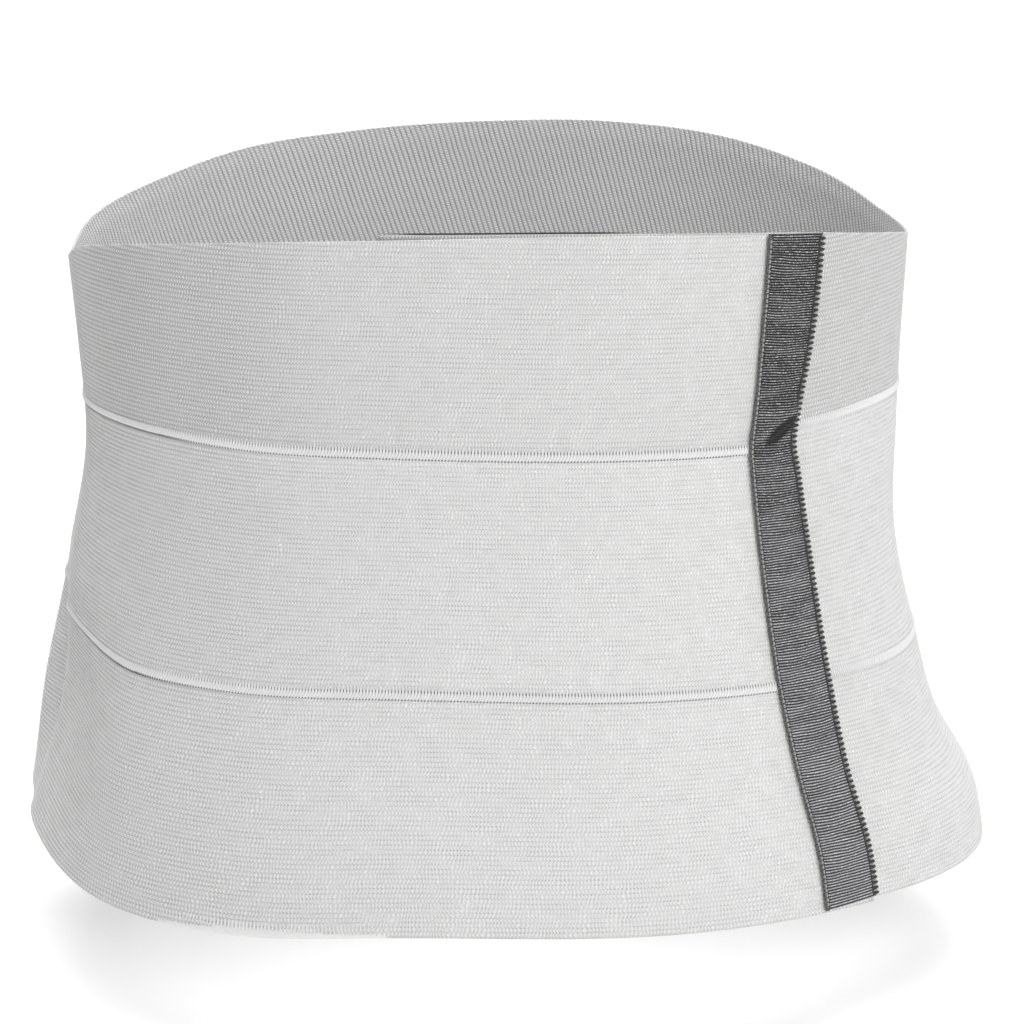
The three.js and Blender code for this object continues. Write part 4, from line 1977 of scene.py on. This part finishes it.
        # Painted shade: a run of dark thread along the blocks' inner side, where their shadow falls.
        run = z + column(self.overlock_shade_line, "along") * self.overlock_pitch
        depth = self.surface + column(self.overlock_shade_line, "depth") * MM
        radii = column(self.overlock_shade_line, "radius") * MM
        self.add_row(draft, run, np.array(self.overlock_shade_back), depth, radii, 0)

    def add_chain(self, draft: MeshDraft) -> None:
        """Adds the chain of light stitches along the rolled inner edge.

        Args:
            draft: The draft, whose finishes are the dark and the light thread.
        """
        z = self.row_heights(self.chain_pitch) + column(self.chain, "along") * self.chain_pitch
        distance = self.form.tape_reach(z) - self.chain_from_edge
        depth = self.front_depth(distance, z) + column(self.chain, "depth") * MM
        self.add_row(draft, z, distance, depth, column(self.chain, "radius") * MM, 1)


class LightBox(NamedTuple):
    """A soft studio light: where it stands, its width and height, and its power in watts."""

    name: str
    place: tuple[float, float, float]
    width: float
    height: float
    watts: float


@dataclass
class Studio:
    """The camera, the pale floor that rises behind into a backdrop, and the soft lights."""

    target: tuple[float, float, float] = (0.0072, 0.0, -0.0338)
    distance: float = 0.912
    elevation: float = 12.5
    lens: float = 91.05
    sensor: float = 36.0
    floor_level: float = -0.185
    floor_half: float = 3.0
    backdrop_at: float = 1.3
    backdrop_height: float = 2.4
    bend: float = 0.6
    bend_points: int = 17
    world: float = 0.19
    nearest: float = 0.01
    farthest: float = 50.0
    paper: tuple[float, float, float, float] = (0.97, 0.97, 0.97, 1.0)
    daylight: tuple[float, float, float, float] = (1.0, 1.0, 1.0, 1.0)

    lights = (
        LightBox("front", (0.65, -2.15, 0.8), 1.8, 1.4, 26.5),
        LightBox("key", (1.35, -1.4, 0.95), 1.2, 1.2, 8.2),
        LightBox("top", (0.0, 0.35, 1.9), 2.0, 1.6, 26.8),
        LightBox("backdrop_wash", (0.0, 0.4, 1.5), 2.4, 0.6, 14.5),
    )

    def build(self) -> None:
        """Makes the camera, floor, world and lights."""
        self.add_camera()
        self.add_floor()
        self.add_world()
        for light in self.lights:
            self.add_light(light)

    def add_camera(self) -> None:
        """Places the camera at the photograph's viewing angle."""
        angle = np.radians(self.elevation)
        away = Vector((0.0, -float(np.cos(angle)), float(np.sin(angle)))) * self.distance
        data = bpy.data.cameras.new("camera")
        data.lens = self.lens
        data.sensor_width = self.sensor
        data.clip_start = self.nearest
        data.clip_end = self.farthest
        camera = bpy.data.objects.new("camera", data)
        camera.location = Vector(self.target) + away
        camera.rotation_euler = (-away).to_track_quat("-Z", "Y").to_euler()
        bpy.context.scene.collection.objects.link(camera)
        bpy.context.scene.camera = camera

    def add_floor(self) -> None:
        """Makes the floor and backdrop as one curved sheet."""
        surface = Surface("studio_paper", roughness=0.9, sheen=0.0)
        surface.paint(self.paper)
        angles = np.linspace(0, np.pi / 2, self.bend_points)
        bend_y = self.backdrop_at - self.bend + self.bend * np.sin(angles)
        bend_z = self.floor_level + self.bend * (1 - np.cos(angles))
        y = np.concatenate([[-self.floor_half], bend_y, [self.backdrop_at]])
        z = np.concatenate([[self.floor_level], bend_z, [self.floor_level + self.backdrop_height]])
        x = np.array([-self.floor_half, self.floor_half])
        points = np.stack(
            [
                np.broadcast_to(x[:, None], (2, len(y))),
                np.broadcast_to(y, (2, len(y))),
                np.broadcast_to(z, (2, len(z))),
            ],
            axis=-1,
        )
        draft = MeshDraft("studio_floor", [surface.material])
        draft.add_grid(points, points[..., :2])
        draft.build()

    def add_world(self) -> None:
        """Sets the even light from all round."""
        world = bpy.data.worlds.new("studio_light")
        world.use_nodes = True
        background = world.node_tree.nodes["Background"]
        background.inputs["Color"].default_value = self.daylight
        background.inputs["Strength"].default_value = self.world
        bpy.context.scene.world = world

    def add_light(self, light: LightBox) -> None:
        """Adds one light that faces the object."""
        data = bpy.data.lights.new(light.name, "AREA")
        data.shape = "RECTANGLE"
        data.size = light.width
        data.size_y = light.height
        data.energy = light.watts
        lamp = bpy.data.objects.new(light.name, data)
        lamp.location = light.place
        lamp.rotation_euler = (Vector(self.target) - Vector(light.place)).to_track_quat("-Z", "Y").to_euler()
        bpy.context.scene.collection.objects.link(lamp)


@dataclass
class Binder:
    """The whole binder: its panels, seams, hem, tape and hook strip."""

    form: BodyForm
    effects: Effects

    def build_panels(self, regions: Regions, thread: Material) -> None:
        """Args:
            regions: Where the cloth's look changes.
            thread: The white thread.
        """
        form = self.form
        face = KNIT_FACE.build(self.effects, regions)
        shaded_upper_face = SHADED_UPPER_KNIT_FACE.build(self.effects, regions)
        back = KNIT_BACK.build(self.effects, regions)
        bead = HEM_CLOTH.build(self.effects)
        upper = KnitPanel(
            form, "knit_upper", Edge.UPPER_SEAM, Edge.RIM, form.upper_panel_height, rib_share=0.5
        )
        middle = KnitPanel(form, "knit_middle", Edge.LOWER_SEAM, Edge.UPPER_SEAM, form.middle_panel_height)
        lower = KnitPanel(form, "knit_lower", Edge.HEM, Edge.LOWER_SEAM, form.lower_panel_height)
        made = []
        for panel, node, finish in (
            (upper, "panel_upper", shaded_upper_face),
            (middle, "panel_middle", face),
            (lower, "panel_lower", face),
        ):
            piece = settle(panel.build(finish, back, bead), Slot.KNIT, node)
            made.append((panel, piece))
        ladder = settle(HemStitches(form).build(thread), Slot.THREAD)
        for panel, piece in made:
            flat = panel.flat_size()

    def build_seams(self, regions: Regions, thread: Material) -> None:
        """Makes the two seams between the panels.

        Args:
            regions: Where the cloth's look changes.
            thread: The white thread.
        """
        cloth = SEAM_CLOTH.build(self.effects, regions)
        seams = (
            (CoverSeam(self.form, "cover_seam_upper", Edge.UPPER_SEAM), "seam_upper"),
            (CoverSeam(self.form, "cover_seam_lower", Edge.LOWER_SEAM), "seam_lower"),
        )
        for seam, node in seams:
            settle(seam.build(cloth, thread), Slot.THREAD, node)

    def build_tape(self) -> None:
        tape = EdgeTape(self.form, Pinch())
        cloth = TAPE_CLOTH.build(self.effects, tape.pinch, tape.pinch_place())
        piece = settle(tape.build(cloth), Slot.TAPE, "edge_tape")
        dark = DARK_THREAD.build(self.effects)
        stitches = tape.build_stitches(dark, GREY_THREAD.build(self.effects))
        settle(stitches, Slot.TAPE)
        # A dark cord that stands in for the shadow line on the under layer's rim.
        settle(RimShadeCord(self.form).build(dark), Slot.THREAD)
        flat = tape.flat_size()

    def dress_hook_strip(self) -> None:
        """Gives the hidden hook strip its finish."""
        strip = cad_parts["hook_strip"]
        strip.data.materials.clear()
        strip.data.materials.append(HOOK_CLOTH.build(self.effects))
        log.info("hook_strip: dressed")

    def build(self) -> None:
        """Makes every piece in order."""
        regions = Regions.of_form(self.form)
        thread = WHITE_THREAD.build(self.effects)
        self.build_panels(regions, thread)
        self.build_seams(regions, thread)
        self.build_tape()
        self.dress_hook_strip()


def main() -> None:
    """Builds the studio and the binder, and reports each piece."""
    logging.basicConfig(level=logging.INFO, format="%(name)s: %(message)s")
    bpy.context.scene.view_settings.view_transform = "Standard"
    Studio().build()
    log.info("studio: camera, floor and lights")
    Binder(BodyForm(), Effects()).build()


if __name__ == "__main__":
    main()
